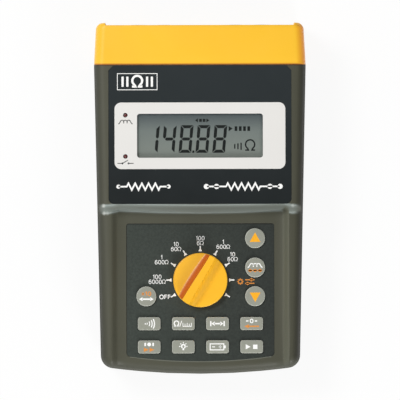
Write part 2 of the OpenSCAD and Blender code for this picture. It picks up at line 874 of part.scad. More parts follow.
module rear_housing() {
    stand_half = stand_w / 2 + move_gap;
    color(case_colour) difference() {
        union() {
            difference() {
                rear_body();
                translate([0, 0, inner_z]) linear_extrude(seam_z - inner_z + over) inside_plan(wall, cap_y + over);
            }
            // Lip that centres the front housing
            translate([0, 0, seam_z - over]) linear_extrude(lip_h + over) difference() {
                inside_plan(lip_in, cap_y - tongue_l - over);
                inside_plan(lip_in + lip_t, cap_y - tongue_l);
            }
            translate([0, 0, seam_z - 2 * lip_h]) linear_extrude(2 * lip_h - over / 2) difference() {
                inside_plan(wall - seat_gap, cap_y - tongue_l - over);
                inside_plan(lip_in + lip_t, cap_y - tongue_l);
            }
            at_all(case_screws_at) post(pillar_r + well_wall, inner_z - over, head_z + case_head_h + wall);
            at_all(case_screws_at) post(pillar_r, inner_z, seam_z);
            // Tub over the tilt stand and the blocks of its hinge
            translate([-stand_half - stand_floor_t, stand_free_y - scoop_l - stand_floor_t, inner_z - over])
                cube([2 * (stand_half + stand_floor_t),
                    stand_l + scoop_l + hinge_end + 2 * stand_floor_t,
                    stand_recess_z + stand_floor_t - inner_z + over]);
            for (side = [-1, 1])
                translate([side * (stand_half + hinge_block_w / 2), hinge_y, (inner_z + stand_recess_z) / 2])
                    cube([hinge_block_w, hinge_block_l, stand_recess_z + 2 * stand_floor_t - inner_z], center = true);
            at_all(cover_screws_at) post(cover_pillar_r, inner_z - over, inner_z + cover_pillar_h);
        }
        // Stand recess, finger scoop and hinge bore
        translate([-stand_half, stand_free_y - move_gap, back_z - over])
            cube([2 * stand_half, stand_l + move_gap + hinge_end, stand_recess_z - back_z + over]);
        translate([-scoop_w / 2, stand_free_y - scoop_l, back_z - over])
            cube([scoop_w, scoop_l, stand_recess_z - back_z + over]);
        translate([-stand_half - stand_pin_l, hinge_y, stand_mid_z]) rotate([0, 90, 0])
            cylinder(2 * (stand_half + stand_pin_l), stand_pin_r + run_gap, stand_pin_r + run_gap);
        // Battery opening and the seat of its cover
        translate([0, tub_y, 0]) {
            translate([-tub_w / 2, -tub_l / 2, back_z - over]) cube([tub_w, tub_l, back_wall + 2 * over]);
            slab(cover_w, cover_l, cover_r, back_z - over, back_z + cover_t);
        }
        at_all(cover_screws_at) post(small_screw_r + run_gap, back_z, inner_z + cover_pillar_h - over);
        at_all(case_screws_at) post(well_r, back_z - over, head_z + case_head_h);
        at_all(case_screws_at) post(case_screw_r + seat_gap, back_z, seam_z + over);
        at_all(feet_at) post(foot_r + seat_gap, back_z - over, back_z + foot_seat);
    }
}

// Yellow cap: straight sides with a slight taper, then a rounded end
module cap_body() {
    straight_y = top_y - end_r;
    end_w = half_w(cap_y) - cap_taper;
    rings = concat(
        [[half_w(cap_y), 0, cap_y]],
        [for (k = [0:arc_steps])
            let(a = 90 * k / arc_steps) [end_w - end_r * (1 - cos(a)), end_edge * (1 - cos(a)), straight_y + end_r * sin(a)]]
    );
    count = len(section(1, 0));
    points = [for (r = rings, p = section(r[0], r[1])) [p[0], r[2], p[1]]];
    faces = concat(
        [for (k = [0:len(rings) - 2], i = [0:count - 1], half = [0, 1])
            let(a = k * count + i, b = k * count + (i + 1) % count, c = a + count, d = b + count)
            half == 0 ? [a, b, d] : [a, d, c]],
        [backwards([for (i = [0:count - 1]) i])],
        [[for (i = [0:count - 1]) (len(rings) - 1) * count + i]]
    );
    polyhedron(points, faces);
}

module terminal_cap() {
    cheek_x = half_w(cap_y) - cap_taper - cheek_w;
    lining = tongue_in + tongue_t;
    color(yellow_colour) difference() {
        union() {
            difference() {
                cap_body();
                section_prism(lining, cap_y - over, end_in_y);
            }
            difference() {
                section_prism(tongue_in, cap_y - tongue_l, cap_y + over);
                section_prism(lining, cap_y - tongue_l - over, cap_y + 2 * over);
            }
        }
        translate([-cheek_x, end_y, -over]) cube([2 * cheek_x, cheek_h + over, case_h + 2 * over]);
        out_of_end(0, socket_z, end_y - end_panel_t - seat_gap)
            linear_extrude(end_panel_t + over) rounded_rect(end_panel_w, end_panel_h, end_panel_r);
        for (x = socket_xs) end_post(x, socket_z, collar_barrel_r + seat_gap, end_in_y - over, end_y);
        end_post(0, socket_z, inlet_r + seat_gap, end_in_y - over, end_y);
    }
}

module terminal_panel() {
    color(dark_colour) difference() {
        out_of_end(0, socket_z, end_y - end_panel_t - seat_gap) linear_extrude(end_panel_t)
            rounded_rect(end_panel_w - 2 * seat_gap, end_panel_h - 2 * seat_gap, end_panel_r);
        for (x = socket_xs) end_post(x, socket_z, collar_barrel_r + seat_gap, end_in_y, end_y + over);
        end_post(0, socket_z, inlet_r + seat_gap, end_in_y, end_y + over);
    }
}

module collar(x) {
    difference() {
        union() {
            end_post(x, socket_z, collar_barrel_r, collar_face_y - collar_barrel_l, collar_face_y);
            end_post(x, socket_z, collar_r, end_y - seat_gap, collar_face_y);
        }
        end_post(x, socket_z, sleeve_r + seat_gap, collar_face_y - collar_barrel_l - over, collar_face_y + over);
    }
}
module collars_red() {
    color([0.72, 0.08, 0.06]) for (x = [socket_xs[0], socket_xs[1]]) collar(x);
}
module collars_black() {
    color([0.05, 0.05, 0.05]) for (x = [socket_xs[2], socket_xs[3]]) collar(x);
}
module socket_sleeves() {
    color([0.85, 0.7, 0.35]) for (x = socket_xs) {
        difference() {
            end_post(x, socket_z, sleeve_r, sleeve_back_y, sleeve_face_y);
            end_post(x, socket_z, socket_d / 2, sleeve_back_y + sleeve_end, sleeve_face_y + over);
        }
        end_post(x, socket_z, tail_r, sleeve_back_y - tail_l, sleeve_back_y + sleeve_end / 2);
    }
}
module adaptor_inlet() {
    back_y = terminal_board_y + board_t + move_gap;
    color([0.06, 0.06, 0.06]) difference() {
        union() {
            end_post(0, socket_z, inlet_r, end_in_y - over, end_y);
            translate([-inlet_body / 2, back_y, socket_z - inlet_body / 2])
                cube([inlet_body, end_in_y - back_y, inlet_body]);
        }
        end_post(0, socket_z, inlet_bore_r, end_y - inlet_bore_l, end_y + over);
    }
}
module inlet_pin() {
    color(steel_colour) end_post(0, socket_z, inlet_pin_r, end_y - inlet_bore_l, end_y - end_panel_t);
}

module front_label() {
    color(dark_colour) difference() {
        translate([0, 0, label_z]) linear_extrude(label_t) label_plan(0);
        translate([0, display_y, 0])
            slab(surround_w + seat_gap, surround_h + seat_gap, surround_r, label_z - over, face_z + over);
    }
}
module display_surround() {
    color([0.91, 0.9, 0.88]) difference() {
        translate([0, display_y, 0]) difference() {
            slab(surround_w, surround_h, surround_r, label_z, label_z + label_t);
            slab(window_w, window_h, window_r, label_z - over, face_z);
        }
        at_all([for (y = lamp_ys) [lamp_x, y]]) post(lamp_d / 2 + lamp_hole_gap, label_z - over, face_z);
    }
}
module display_lens() {
    color([0.85, 0.9, 0.9, 0.4]) translate([0, display_y, 0])
        slab(window_w + 2 * (lens_rim - seat_gap), window_h + 2 * (lens_rim - seat_gap), window_r,
            lens_z - seat_gap / 2, lens_z - seat_gap / 2 + lens_t);
}
module lcd_glass() {
    color([0.42, 0.46, 0.45]) translate([0, display_y, 0])
        slab(window_w + 2 * lcd_rim, window_h + 2 * lcd_rim, window_r / 2, lcd_z, lcd_top_z);
}
module lcd_holder() {
    holder_w = window_w + 2 * (lcd_rim + holder_wall);
    holder_h = window_h + 2 * (lcd_rim + holder_wall);
    color([0.12, 0.12, 0.12]) difference() {
        translate([0, display_y, 0]) difference() {
            slab(holder_w, holder_h, window_r, display_top_z, face_z - face_wall - seat_gap);
            slab(window_w + 2 * (lcd_rim + seat_gap), window_h + 2 * (lcd_rim + seat_gap), window_r / 2,
                display_top_z - over, face_z);
        }
        at_all([for (y = lamp_ys) [lamp_x, y]]) post(lamp_d / 2 + seat_gap, display_top_z - over, face_z);
    }
}
module backlight_panel() {
    color([0.9, 0.92, 0.88]) translate([0, display_y, 0])
        slab(window_w + lcd_rim, window_h - lcd_rim / 2, window_r / 2, display_top_z, lcd_z - seat_gap);
}
module contact_strips() {
    strip_w = lcd_rim - window_r / 2;
    color([0.75, 0.55, 0.35]) for (side = [-1, 1])
        translate([-window_w / 2, display_y + side * (window_h / 2 + strip_w / 2) - strip_w / 2, display_top_z])
            cube([window_w, strip_w, lcd_z - display_top_z]);
}
module display_board() {
    color(board_colour) difference() {
        translate([0, display_y, 0])
            slab(display_board_w, display_board_h, window_r, display_board_z, display_top_z);
        at_all(display_screws_at) post(small_screw_r + seat_gap, display_board_z - over, display_top_z + over);
    }
}
module display_screws() {
    color(steel_colour) small_screws(display_screws_at, display_board_z);
}
module lamp(y) {
    dome_z = label_z + label_t - lamp_d / 2;
    color([0.35, 0.08, 0.08]) translate([lamp_x, y, 0]) {
        post(lamp_d / 2, display_top_z, dome_z);
        intersection() {
            translate([0, 0, dome_z]) sphere(lamp_d / 2);
            post(lamp_d, dome_z, face_z);
        }
    }
}
module lamp_upper() {
    lamp(lamp_ys[0]);
}
module lamp_lower() {
    lamp(lamp_ys[1]);
}

module keypad_panel() {
    color([0.23, 0.26, 0.24]) difference() {
        translate([0, 0, pocket_floor_z]) linear_extrude(panel_t) panel_plan(0);
        key_holes(key_gap, pocket_floor_z - over, tray_z);
        translate([0, knob_y, 0]) post(shaft_r + key_gap, pocket_floor_z - over, tray_z);
    }
}
module keypad_mat() {
    mat_top_y = round_rows[0] + round_d / 2 + flange_w;
    mat_low_y = key_row_2_y - key_h / 2 - flange_w;
    color([0.2, 0.2, 0.22]) {
        difference() {
            translate([0, (mat_top_y + mat_low_y) / 2, 0])
                slab(mat_w, mat_top_y - mat_low_y, key_r, board_top_z, board_top_z + mat_t);
            translate([0, knob_y, 0]) post(switch_hole_r, board_top_z - over, floor_z);
        }
        at_all(concat(round_keys_at, keys_at)) post(dome_r, board_top_z + mat_t / 2, dome_top_z);
    }
}
module main_board() {
    color(board_colour) difference() {
        translate([0, (main_top_y + main_low_y) / 2, 0])
            slab(main_board_w, main_top_y - main_low_y, key_r, main_board_z, board_top_z);
        at_all(board_screws_at) post(small_screw_r + seat_gap, main_board_z - over, board_top_z + over);
    }
}
module board_screws() {
    color(steel_colour) small_screws(board_screws_at, main_board_z);
}

module range_knob() {
    top_z = knob_z + skirt_h;
    shaft_top_z = top_z - skirt_top_t;
    edge = [for (k = [0:arc_steps / 2])
        let(a = 180 * k / arc_steps)
        [knob_d / 2 - skirt_edge * (1 - cos(a)), top_z - skirt_edge * (1 - sin(a))]];
    color(yellow_colour) translate(knob_at) rotate([0, 0, knob_angle]) {
        difference() {
            union() {
                rotate_extrude($fn = 96) polygon(concat([[0, knob_z], [knob_d / 2, knob_z]], edge, [[0, top_z]]));
                intersection() {
                    grip_bar();
                    translate([0, 0, knob_z]) cylinder(knob_h, bar_reach, bar_reach, $fn = 96);
                }
            }
            difference() {
                post(knob_d / 2 - skirt_wall, knob_z - over, knob_z + skirt_h - skirt_top_t);
                post(hub_r, knob_z - over, knob_z + skirt_h);
            }
            post(shaft_r + run_gap, knob_z - over, shaft_top_z);
        }
    }
}
module switch_rotor() {
    steps = notch_count * 8;
    color([0.85, 0.83, 0.75]) translate(knob_at) {
        translate([0, 0, rotor_z]) linear_extrude(rotor_t) polygon([for (i = [0:steps - 1])
            let(a = 360 * i / steps, r = rotor_r - notch_depth * (1 + cos(notch_count * a)) / 2)
            [r * cos(a), r * sin(a)]]);
        post(shaft_r, rotor_z, knob_z + skirt_h - skirt_top_t - seat_gap);
    }
}
module switch_wipers() {
    pads_z = board_top_z + pad_t;
    color([0.85, 0.65, 0.25]) translate(knob_at) for (i = [0:wiper_count - 1])
        rotate([0, 0, knob_angle + 360 * i / wiper_count])
            translate([(pad_in_r + pad_out_r) / 2 - wiper_l / 2, -wiper_w / 2, pads_z + wiper_gap])
                cube([wiper_l, wiper_w, rotor_z - pads_z - wiper_gap]);
}
module contact_ring() {
    color([0.9, 0.7, 0.3]) translate(knob_at) {
        difference() {
            post(pad_out_r, board_top_z, board_top_z + pad_t);
            post(pad_in_r, board_top_z - over, board_top_z + over);
            for (i = [0:notch_count / 2 - 1]) rotate([0, 0, 360 * (i + 0.5) / notch_count])
                translate([-pad_out_r - over, -pad_slot_w / 2, board_top_z - over])
                    cube([2 * (pad_out_r + over), pad_slot_w, 2 * over]);
        }
        difference() {
            post(pad_in_r - pad_slot_w, board_top_z, board_top_z + pad_t);
            post(shaft_r, board_top_z - over, board_top_z + over);
        }
    }
}
// Two leaf springs beside the rotor, each with a round nose that faces its notches
module detent_springs() {
    color(steel_colour) translate([0, knob_y, spring_z]) for (side = [0, 180]) rotate([0, 0, side])
        linear_extrude(spring_h) difference() {
            union() {
                translate([0, spring_off]) circle(spring_bump_r);
                translate([-spring_half_l, spring_off - spring_t / 2]) square([2 * spring_half_l, spring_t]);
                for (end = [-1, 1]) translate([end * spring_half_l, spring_off]) circle(spring_eye_r);
            }
            for (end = [-1, 1]) translate([end * spring_half_l, spring_off]) circle(spring_pin_r + run_gap);
        }
}

// Round key with a rounded edge
module round_key(at) {
    edge = [for (k = [0:arc_steps / 2])
        let(a = 180 * k / arc_steps)
        [round_d / 2 - key_edge * (1 - cos(a)), key_top_z - key_edge * (1 - sin(a))]];
    color(key_colour) translate(at) {
        rotate_extrude() polygon(concat([[0, key_low_z], [round_d / 2, key_low_z]], edge, [[0, key_top_z]]));
        post(round_d / 2 + flange_w, key_low_z, key_low_z + flange_t);
    }
}
// Rectangular key: a rounded plan whose top edge rolls inward
module key_cap(w, h, r, low_z, top_z) {
    quarter = 5;
    rolls = 3;
    function plan(inset) = [for (c = [0:3], k = [0:quarter - 1])
        let(a = 90 * (c + k / (quarter - 1)), sx = c == 0 || c == 3 ? 1 : -1, sy = c < 2 ? 1 : -1)
        [sx * (w / 2 - r) + (r - inset) * cos(a), sy * (h / 2 - r) + (r - inset) * sin(a)]];
    levels = concat(
        [[0, low_z]],
        [for (k = [0:rolls]) let(a = 90 * k / rolls) [key_edge * (1 - cos(a)), top_z - key_edge * (1 - sin(a))]]
    );
    count = 4 * quarter;
    points = [for (l = levels, p = plan(l[0])) [p[0], p[1], l[1]]];
    faces = concat(
        [for (k = [0:rolls], i = [0:count - 1], half = [0, 1])
            let(a = k * count + i, b = k * count + (i + 1) % count, c = a + count, d = b + count)
            half == 0 ? [a, d, b] : [a, c, d]],
        [[for (i = [0:count - 1]) i]],
        [backwards([for (i = [0:count - 1]) (rolls + 1) * count + i])]
    );
    polyhedron(points, faces);
}
module square_key(at) {
    color(key_colour) translate(at) {
        key_cap(key_w, key_h, key_r, key_low_z + flange_t / 2, key_top_z);
        slab(key_w + 2 * flange_w, key_h + 2 * flange_w, key_r + flange_w, key_low_z, key_low_z + flange_t);
    }
}
module button_up() {
    round_key(round_keys_at[0]);
}
module button_select() {
    round_key(round_keys_at[1]);
}
module button_down() {
    round_key(round_keys_at[2]);
}
module button_range() {
    round_key(round_keys_at[3]);
}
module button_beeper() {
    square_key(keys_at[0]);
}
module button_length() {
    square_key(keys_at[1]);
}
module button_unit() {
    square_key(keys_at[2]);
}
module button_zero() {
    square_key(keys_at[3]);
}
module button_record() {
    square_key(keys_at[4]);
}
module button_backlight() {
    square_key(keys_at[5]);
}
module button_charge() {
    square_key(keys_at[6]);
}
module button_start() {
    square_key(keys_at[7]);
}

module terminal_board() {
    color(board_colour) difference() {
        translate([-terminal_board_w / 2, terminal_board_y, socket_z - terminal_board_h / 2])
            cube([terminal_board_w, board_t, terminal_board_h]);
        for (x = socket_xs)
            end_post(x, socket_z, tail_r + seat_gap, terminal_board_y - over, terminal_board_y + board_t + over);
    }
}
// Straight wire between two places
module wire(from, to) {
    run = to - from;
    flat = norm([run[0], run[1]]);
    translate(from) rotate([0, atan2(flat, run[2]), atan2(run[1], run[0])])
        cylinder(norm(run), wire_r, wire_r, $fn = 24);
}
module sense_wires() {
    wire_z = main_board_z - block_h / 2;
    color([0.7, 0.1, 0.08]) for (i = [0:len(socket_xs) - 1])
        wire([socket_xs[i], terminal_board_y - wire_r, wire_z],
            [(i - (len(socket_xs) - 1) / 2) * wire_pitch, main_top_y + wire_r, wire_z]);
}
module wire_block() {
    color([0.2, 0.45, 0.25]) translate([-block_w / 2, main_top_y - block_l, main_board_z - block_h])
        cube([block_w, block_l, block_h]);
}
buzzer_at = [-main_board_w / 3, main_top_y - 3 * buzzer_r];
module buzzer() {
    color([0.08, 0.08, 0.08]) translate(buzzer_at) difference() {
        post(buzzer_r, main_board_z - buzzer_h, main_board_z);
        post(small_screw_r, main_board_z - buzzer_h - over, main_board_z - buzzer_h / 2);
    }
}
module current_shunt() {
    color([0.75, 0.5, 0.3]) translate([main_board_w / 4, main_top_y - 3 * buzzer_r, main_board_z - shunt_h])
        difference() {
            translate([-shunt_l / 2, -shunt_w / 2, 0]) cube([shunt_l, shunt_w, shunt_h]);
            translate([-shunt_l / 2 + shunt_t, -shunt_w / 2 - over, shunt_t])
                cube([shunt_l - 2 * shunt_t, shunt_w + 2 * over, shunt_h]);
        }
}
module heat_sink() {
    fin_step = (sink_w - sink_fin_t) / (sink_fins - 1);
    color([0.2, 0.2, 0.2]) translate([-sink_w / 2, main_low_y + sink_l / 2, main_board_z - sink_h]) {
        translate([0, 0, sink_h - sink_base_t]) cube([sink_w, sink_l, sink_base_t]);
        for (i = [0:sink_fins - 1]) translate([i * fin_step, 0, 0]) cube([sink_fin_t, sink_l, sink_h]);
    }
}
fuse_at = [-main_board_w / 3, main_top_y - 9 * buzzer_r, main_board_z - fuse_drop];
module fuse() {
    color([0.85, 0.88, 0.88]) translate(fuse_at) rotate([90, 0, 0]) cylinder(fuse_l, fuse_r, fuse_r, center = true);
}
module fuse_clips() {
    color(steel_colour) for (end = [-1, 1])
        translate([fuse_at[0], fuse_at[1] + end * (fuse_l - fuse_clip_l) / 2, 0]) difference() {
            translate([-fuse_r - contact_t, -fuse_clip_l / 2, fuse_at[2]])
                cube([2 * (fuse_r + contact_t), fuse_clip_l, fuse_drop]);
            translate([0, fuse_clip_l, fuse_at[2]]) rotate([90, 0, 0])
                cylinder(2 * fuse_clip_l, fuse_r + run_gap, fuse_r + run_gap);
        }
}

// Place of a cell, by column and row
function cell_at(column, row) = [
    (column - (cells_across - 1) / 2) * (cell_d + cell_gap),
    tub_y + (row == 0 ? -1 : 1) * cell_row_off
];
nub_r = 2.7;
nub_l = 1;
module battery_cells() {
    color([0.25, 0.3, 0.5]) for (row = [0, 1], column = [0:cells_across - 1]) {
        flip = (column + row) % 2 == 0 ? 0 : 180;
        translate([cell_at(column, row)[0], cell_at(column, row)[1], cell_z]) rotate([0, 0, flip]) rotate([90, 0, 0]) {
            translate([0, 0, -cell_l / 2]) cylinder(cell_l - nub_l, cell_d / 2, cell_d / 2);
            translate([0, 0, -cell_l / 2]) cylinder(cell_l, nub_r, nub_r);
        }
    }
}
module battery_contacts() {
    plate = 2 * cell_d / 3;
    room = cell_l / 2 + contact_room;
    color(steel_colour) for (row = [0, 1], column = [0:cells_across - 1], end = [-1, 1])
        translate([cell_at(column, row)[0], cell_at(column, row)[1] + end * room, cell_z]) rotate([0, 0, end * 90]) {
            translate([-contact_t, -plate / 2, -plate / 2]) cube([contact_t, plate, plate]);
            translate([-contact_room + seat_gap, 0, 0]) rotate([0, 90, 0])
                cylinder(contact_room - seat_gap, nub_r, nub_r + contact_t);
        }
}
module battery_holder() {
    color([0.1, 0.1, 0.1]) translate([0, tub_y, 0]) difference() {
        translate([-tub_w / 2 - tub_wall, -tub_l / 2 - tub_wall, inner_z])
            cube([tub_w + 2 * tub_wall, tub_l + 2 * tub_wall, tub_top_z + tub_wall - inner_z]);
        for (row = [-1, 1]) translate([-tub_w / 2, row * cell_row_off - tub_l / 4 + divider_t / 4, inner_z - over])
            cube([tub_w, tub_l / 2 - divider_t / 2, tub_top_z - inner_z + over]);
    }
}
groove_count = 5;
groove_w = 1;
groove_l = 30;
module battery_cover() {
    color(case_colour) difference() {
        translate([0, tub_y, 0])
            slab(cover_w - 2 * seat_gap, cover_l - 2 * seat_gap, cover_r, back_z, back_z + cover_t);
        at_all(cover_screws_at) {
            post(small_screw_r + seat_gap, back_z - over, inner_z);
            post(cover_head_r + seat_gap, back_z - over, back_z + cover_head_h);
        }
        for (i = [0:groove_count - 1])
            translate([-groove_l / 2, tub_y + tub_l / 3 + 2 * i * groove_w, back_z - over])
                cube([groove_l, groove_w, over + cover_t / 3]);
    }
}
module battery_cover_screws() {
    color(steel_colour) at_all(cover_screws_at) difference() {
        union() {
            post(cover_head_r, back_z + seat_gap, back_z + cover_head_h);
            post(small_screw_r, back_z + seat_gap, inner_z + cover_pillar_h - 2 * over);
        }
        cross(cover_head_r, back_z + seat_gap);
    }
}
module tilt_stand() {
    relief_l = stand_l - 3 * stand_rim;
    color(dark_colour) difference() {
        union() {
            intersection() {
                translate([0, hinge_y - stand_l / 2, 0])
                    slab(stand_w, stand_l + 2 * stand_r, stand_r, stand_low_z, stand_low_z + stand_t);
                translate([-stand_w, stand_free_y, 0]) cube([2 * stand_w, stand_l, case_h]);
            }
            translate([-stand_w / 2, hinge_y, stand_mid_z]) rotate([0, 90, 0])
                cylinder(stand_w, stand_t / 2, stand_t / 2);
            translate([-stand_w / 2 - stand_pin_l, hinge_y, stand_mid_z]) rotate([0, 90, 0])
                cylinder(stand_w + 2 * stand_pin_l, stand_pin_r, stand_pin_r);
        }
        translate([0, stand_free_y + 2 * stand_rim + relief_l / 2, 0])
            slab(stand_w - 2 * stand_rim, relief_l, stand_r, stand_low_z - over, stand_low_z + stand_relief);
    }
}
module case_screws() {
    color(steel_colour) at_all(case_screws_at) difference() {
        union() {
            post(case_head_r, head_z, head_z + case_head_h);
            post(case_screw_r, head_z, head_z + case_screw_l);
        }
        cross(case_head_r, head_z);
    }
}
module rubber_feet() {
    color([0.08, 0.08, 0.08]) at_all(feet_at) {
        cylinder(foot_edge, foot_r - foot_edge, foot_r);
        post(foot_r, foot_edge, foot_h + foot_seat);
    }
}

front_housing();
rear_housing();
terminal_cap();
terminal_panel();
collars_red();
collars_black();
socket_sleeves();
adaptor_inlet();
inlet_pin();
front_label();
display_surround();
display_lens();
lcd_glass();
lcd_holder();
backlight_panel();
contact_strips();
display_board();
display_screws();
lamp_upper();
lamp_lower();
keypad_panel();
keypad_mat();
main_board();
board_screws();
range_knob();
switch_rotor();
switch_wipers();
contact_ring();
detent_springs();
button_up();
button_select();
button_down();
button_range();
button_beeper();
button_length();
button_unit();
button_zero();
button_record();
button_backlight();
button_charge();
button_start();
terminal_board();
sense_wires();
wire_block();
buzzer();
current_shunt();
heat_sink();
fuse();
fuse_clips();
battery_holder();
battery_cells();
battery_contacts();
battery_cover();
battery_cover_screws();
tilt_stand();
case_screws();
rubber_feet();
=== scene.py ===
import bmesh
import bpy
import math
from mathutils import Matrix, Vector


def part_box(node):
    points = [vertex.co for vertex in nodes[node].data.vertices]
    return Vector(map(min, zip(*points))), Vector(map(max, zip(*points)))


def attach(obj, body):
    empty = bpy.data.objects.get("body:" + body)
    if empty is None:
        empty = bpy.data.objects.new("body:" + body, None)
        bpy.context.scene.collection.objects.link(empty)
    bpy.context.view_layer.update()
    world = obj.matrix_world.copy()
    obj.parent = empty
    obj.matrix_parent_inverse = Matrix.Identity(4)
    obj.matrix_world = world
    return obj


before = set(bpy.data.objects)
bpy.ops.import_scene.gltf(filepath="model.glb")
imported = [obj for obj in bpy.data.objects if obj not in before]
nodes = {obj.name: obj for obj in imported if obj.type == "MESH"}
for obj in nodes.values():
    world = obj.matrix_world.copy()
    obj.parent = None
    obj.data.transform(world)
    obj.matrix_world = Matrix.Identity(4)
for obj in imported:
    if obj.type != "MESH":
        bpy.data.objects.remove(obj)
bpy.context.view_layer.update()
mm = 0.001
capJoint = 98.0 * mm  # line where the end cap meets the front housing
print("frame loaded with", len(nodes), "nodes")


def paint(red, green, blue):
    # a screen colour, 0 to 255, as the linear colour that the shader takes
    def straighten(value):
        value = value / 255
        return value / 12.92 if value <= 0.04045 else ((value + 0.055) / 1.055) ** 2.4
    return (straighten(red), straighten(green), straighten(blue), 1.0)


def shade(colour, factor):
    return tuple(min(part * factor, 1.0) for part in colour[:3]) + (1.0,)


# Camera straight above the display, far enough away to keep the sides parallel
shot = {
    "pixelSize": 0.7315 * mm,
    "imageWidth": 400,
    "distance": 5.0,
    "nearest": 0.1,
    "farthest": 40,
    "sensor": 36,
    "aimHeight": 45 * mm,  # height at which the scale is exact
    "shiftX": -0.09 * mm,
    "shiftY": -0.95 * mm,
    "roll": -0.13,
}
cameraData = bpy.data.cameras.new("Camera")
cameraData.sensor_fit = "HORIZONTAL"
cameraData.sensor_width = shot["sensor"]
cameraData.lens = shot["sensor"] * shot["distance"] / (shot["pixelSize"] * shot["imageWidth"])
cameraData.clip_start = shot["nearest"]
cameraData.clip_end = shot["farthest"]
camera = bpy.data.objects.new("Camera", cameraData)
camera.location = (shot["shiftX"], shot["shiftY"], shot["aimHeight"] + shot["distance"])
camera.rotation_euler = (0, 0, math.radians(shot["roll"]))
bpy.context.scene.collection.objects.link(camera)
bpy.context.scene.camera = camera
bpy.context.scene.view_settings.view_transform = "Standard"
print("camera set")

# Soft studio: a pale room, darker overhead, a main lamp on the upper left and a low one at the keypad end
studio = {
    "roomHeights": (0.12, 0.95),  # from the horizon to straight overhead
    "roomLevels": (0.62, 0.30),
    "roomLean": (-0.36, -0.12, 0.0),
    "mainLamp": {"power": 24.5, "size": 0.8, "place": (-1.05, 0.85, 1.75)},
    "lowLamp": {"power": 29, "size": 0.9, "place": (0.8, -1.9, 1.1)},
    "lampAim": (0, 0, 30 * mm),
    "floorColour": paint(246, 246, 245),
    "floorDrift": (0.01, 6),
    "floorRough": 0.9,
    "floorGloss": 0.1,
    "floorWhite": 0.90,
    "floorHalf": 9.0,
}


def buildRoom():
    world = bpy.data.worlds.new("Studio")
    bpy.context.scene.world = world
    world.use_nodes = True
    tree = world.node_tree
    background = tree.nodes["Background"]
    direction = tree.nodes.new("ShaderNodeTexCoord").outputs["Generated"]
    height = stretch(tree, axes(tree, direction)["Z"], *studio["roomHeights"], *studio["roomLevels"])
    # the room is brighter on the left and a little at the keypad end
    lean = stretch(tree, facing(tree, direction, studio["roomLean"]), -1, 1, 0, 2)
    tree.links.new(joined(tree, "MULTIPLY", height, lean), background.inputs["Strength"])
    background.inputs["Color"].default_value = (1, 1, 1, 1)


def buildLamp(name):
    recipe = studio[name]
    lamp = bpy.data.lights.new(name, "AREA")
    lamp.shape = "DISK"
    lamp.size = recipe["size"]
    lamp.energy = recipe["power"]
    holder = bpy.data.objects.new(name, lamp)
    holder.location = recipe["place"]
    toObject = Vector(studio["lampAim"]) - Vector(recipe["place"])
    holder.rotation_euler = toObject.to_track_quat("-Z", "Y").to_euler()
    bpy.context.scene.collection.objects.link(holder)


def buildFloor():
    half = studio["floorHalf"]
    corners = [(-half, -half, 0), (half, -half, 0), (half, half, 0), (-half, half, 0)]
    mesh = bpy.data.meshes.new("Floor")
    mesh.from_pydata(corners, [], [(0, 1, 2, 3)])
    floor = bpy.data.objects.new("Floor", mesh)
    bpy.context.scene.collection.objects.link(floor)
    card, tree, shader = startMaterial("pale table card")
    shader.inputs["Roughness"].default_value = studio["floorRough"]
    shader.inputs["Specular IOR Level"].default_value = studio["floorGloss"]
    tree.links.new(mottle(tree, studio["floorColour"], *studio["floorDrift"]), shader.inputs["Base Color"])
    # eye, gloss and glass see the card nearly white, with a faint shadow left in it
    white = tree.nodes.new("ShaderNodeEmission")
    path = tree.nodes.new("ShaderNodeLightPath")
    seen = path.outputs["Is Camera Ray"]
    for other in ("Is Glossy Ray", "Is Transmission Ray"):
        seen = joined(tree, "MAXIMUM", seen, path.outputs[other])
    mixer = tree.nodes.new("ShaderNodeMixShader")
    tree.links.new(stretch(tree, seen, 0, 1, 0, studio["floorWhite"]), mixer.inputs[0])
    tree.links.new(shader.outputs[0], mixer.inputs[1])
    tree.links.new(white.outputs[0], mixer.inputs[2])
    tree.links.new(mixer.outputs[0], tree.nodes["Material Output"].inputs["Surface"])
    mesh.materials.append(card)


# Pieces of material graphs
cloudSpan = (0.3, 0.7)  # most of a noise lies between these
sharpTurn = (0.99, 0.9)  # how far the rounded normal has turned where an edge begins and where it is full
edgeSamples = 4


def startMaterial(name):
    material = bpy.data.materials.new(name)
    material.use_nodes = True
    return material, material.node_tree, material.node_tree.nodes["Principled BSDF"]


def local(tree, kind):
    # place ("Object") or direction ("Normal") of the surface in the frame of its own piece
    found = tree.nodes.get("place")
    if found is None:
        found = tree.nodes.new("ShaderNodeTexCoord")
        found.name = "place"
    return found.outputs[kind]


def axes(tree, vector):
    split = tree.nodes.new("ShaderNodeSeparateXYZ")
    tree.links.new(vector, split.inputs[0])
    return split.outputs


def facing(tree, vector, toward):
    # 1 where the vector points along toward, 0 where it is square to it
    turned = tree.nodes.new("ShaderNodeVectorMath")
    turned.operation = "DOT_PRODUCT"
    turned.inputs[1].default_value = toward
    tree.links.new(vector, turned.inputs[0])
    return turned.outputs["Value"]


def joined(tree, operation, first, second):
    step = tree.nodes.new("ShaderNodeMath")
    step.operation = operation
    tree.links.new(first, step.inputs[0])
    tree.links.new(second, step.inputs[1])
    return step.outputs[0]


def noise(tree, scale, detail=2, roughness=0.5):
    cloud = tree.nodes.new("ShaderNodeTexNoise")
    cloud.inputs["Scale"].default_value = scale
    cloud.inputs["Detail"].default_value = detail
    cloud.inputs["Roughness"].default_value = roughness
    tree.links.new(local(tree, "Object"), cloud.inputs["Vector"])
    return cloud.outputs["Fac"]


def stretch(tree, value, fromLow, fromHigh, toLow, toHigh):
    ruler = tree.nodes.new("ShaderNodeMapRange")
    ends = {"From Min": fromLow, "From Max": fromHigh, "To Min": toLow, "To Max": toHigh}
    for name, number in ends.items():
        ruler.inputs[name].default_value = number
    tree.links.new(value, ruler.inputs["Value"])
    return ruler.outputs["Result"]


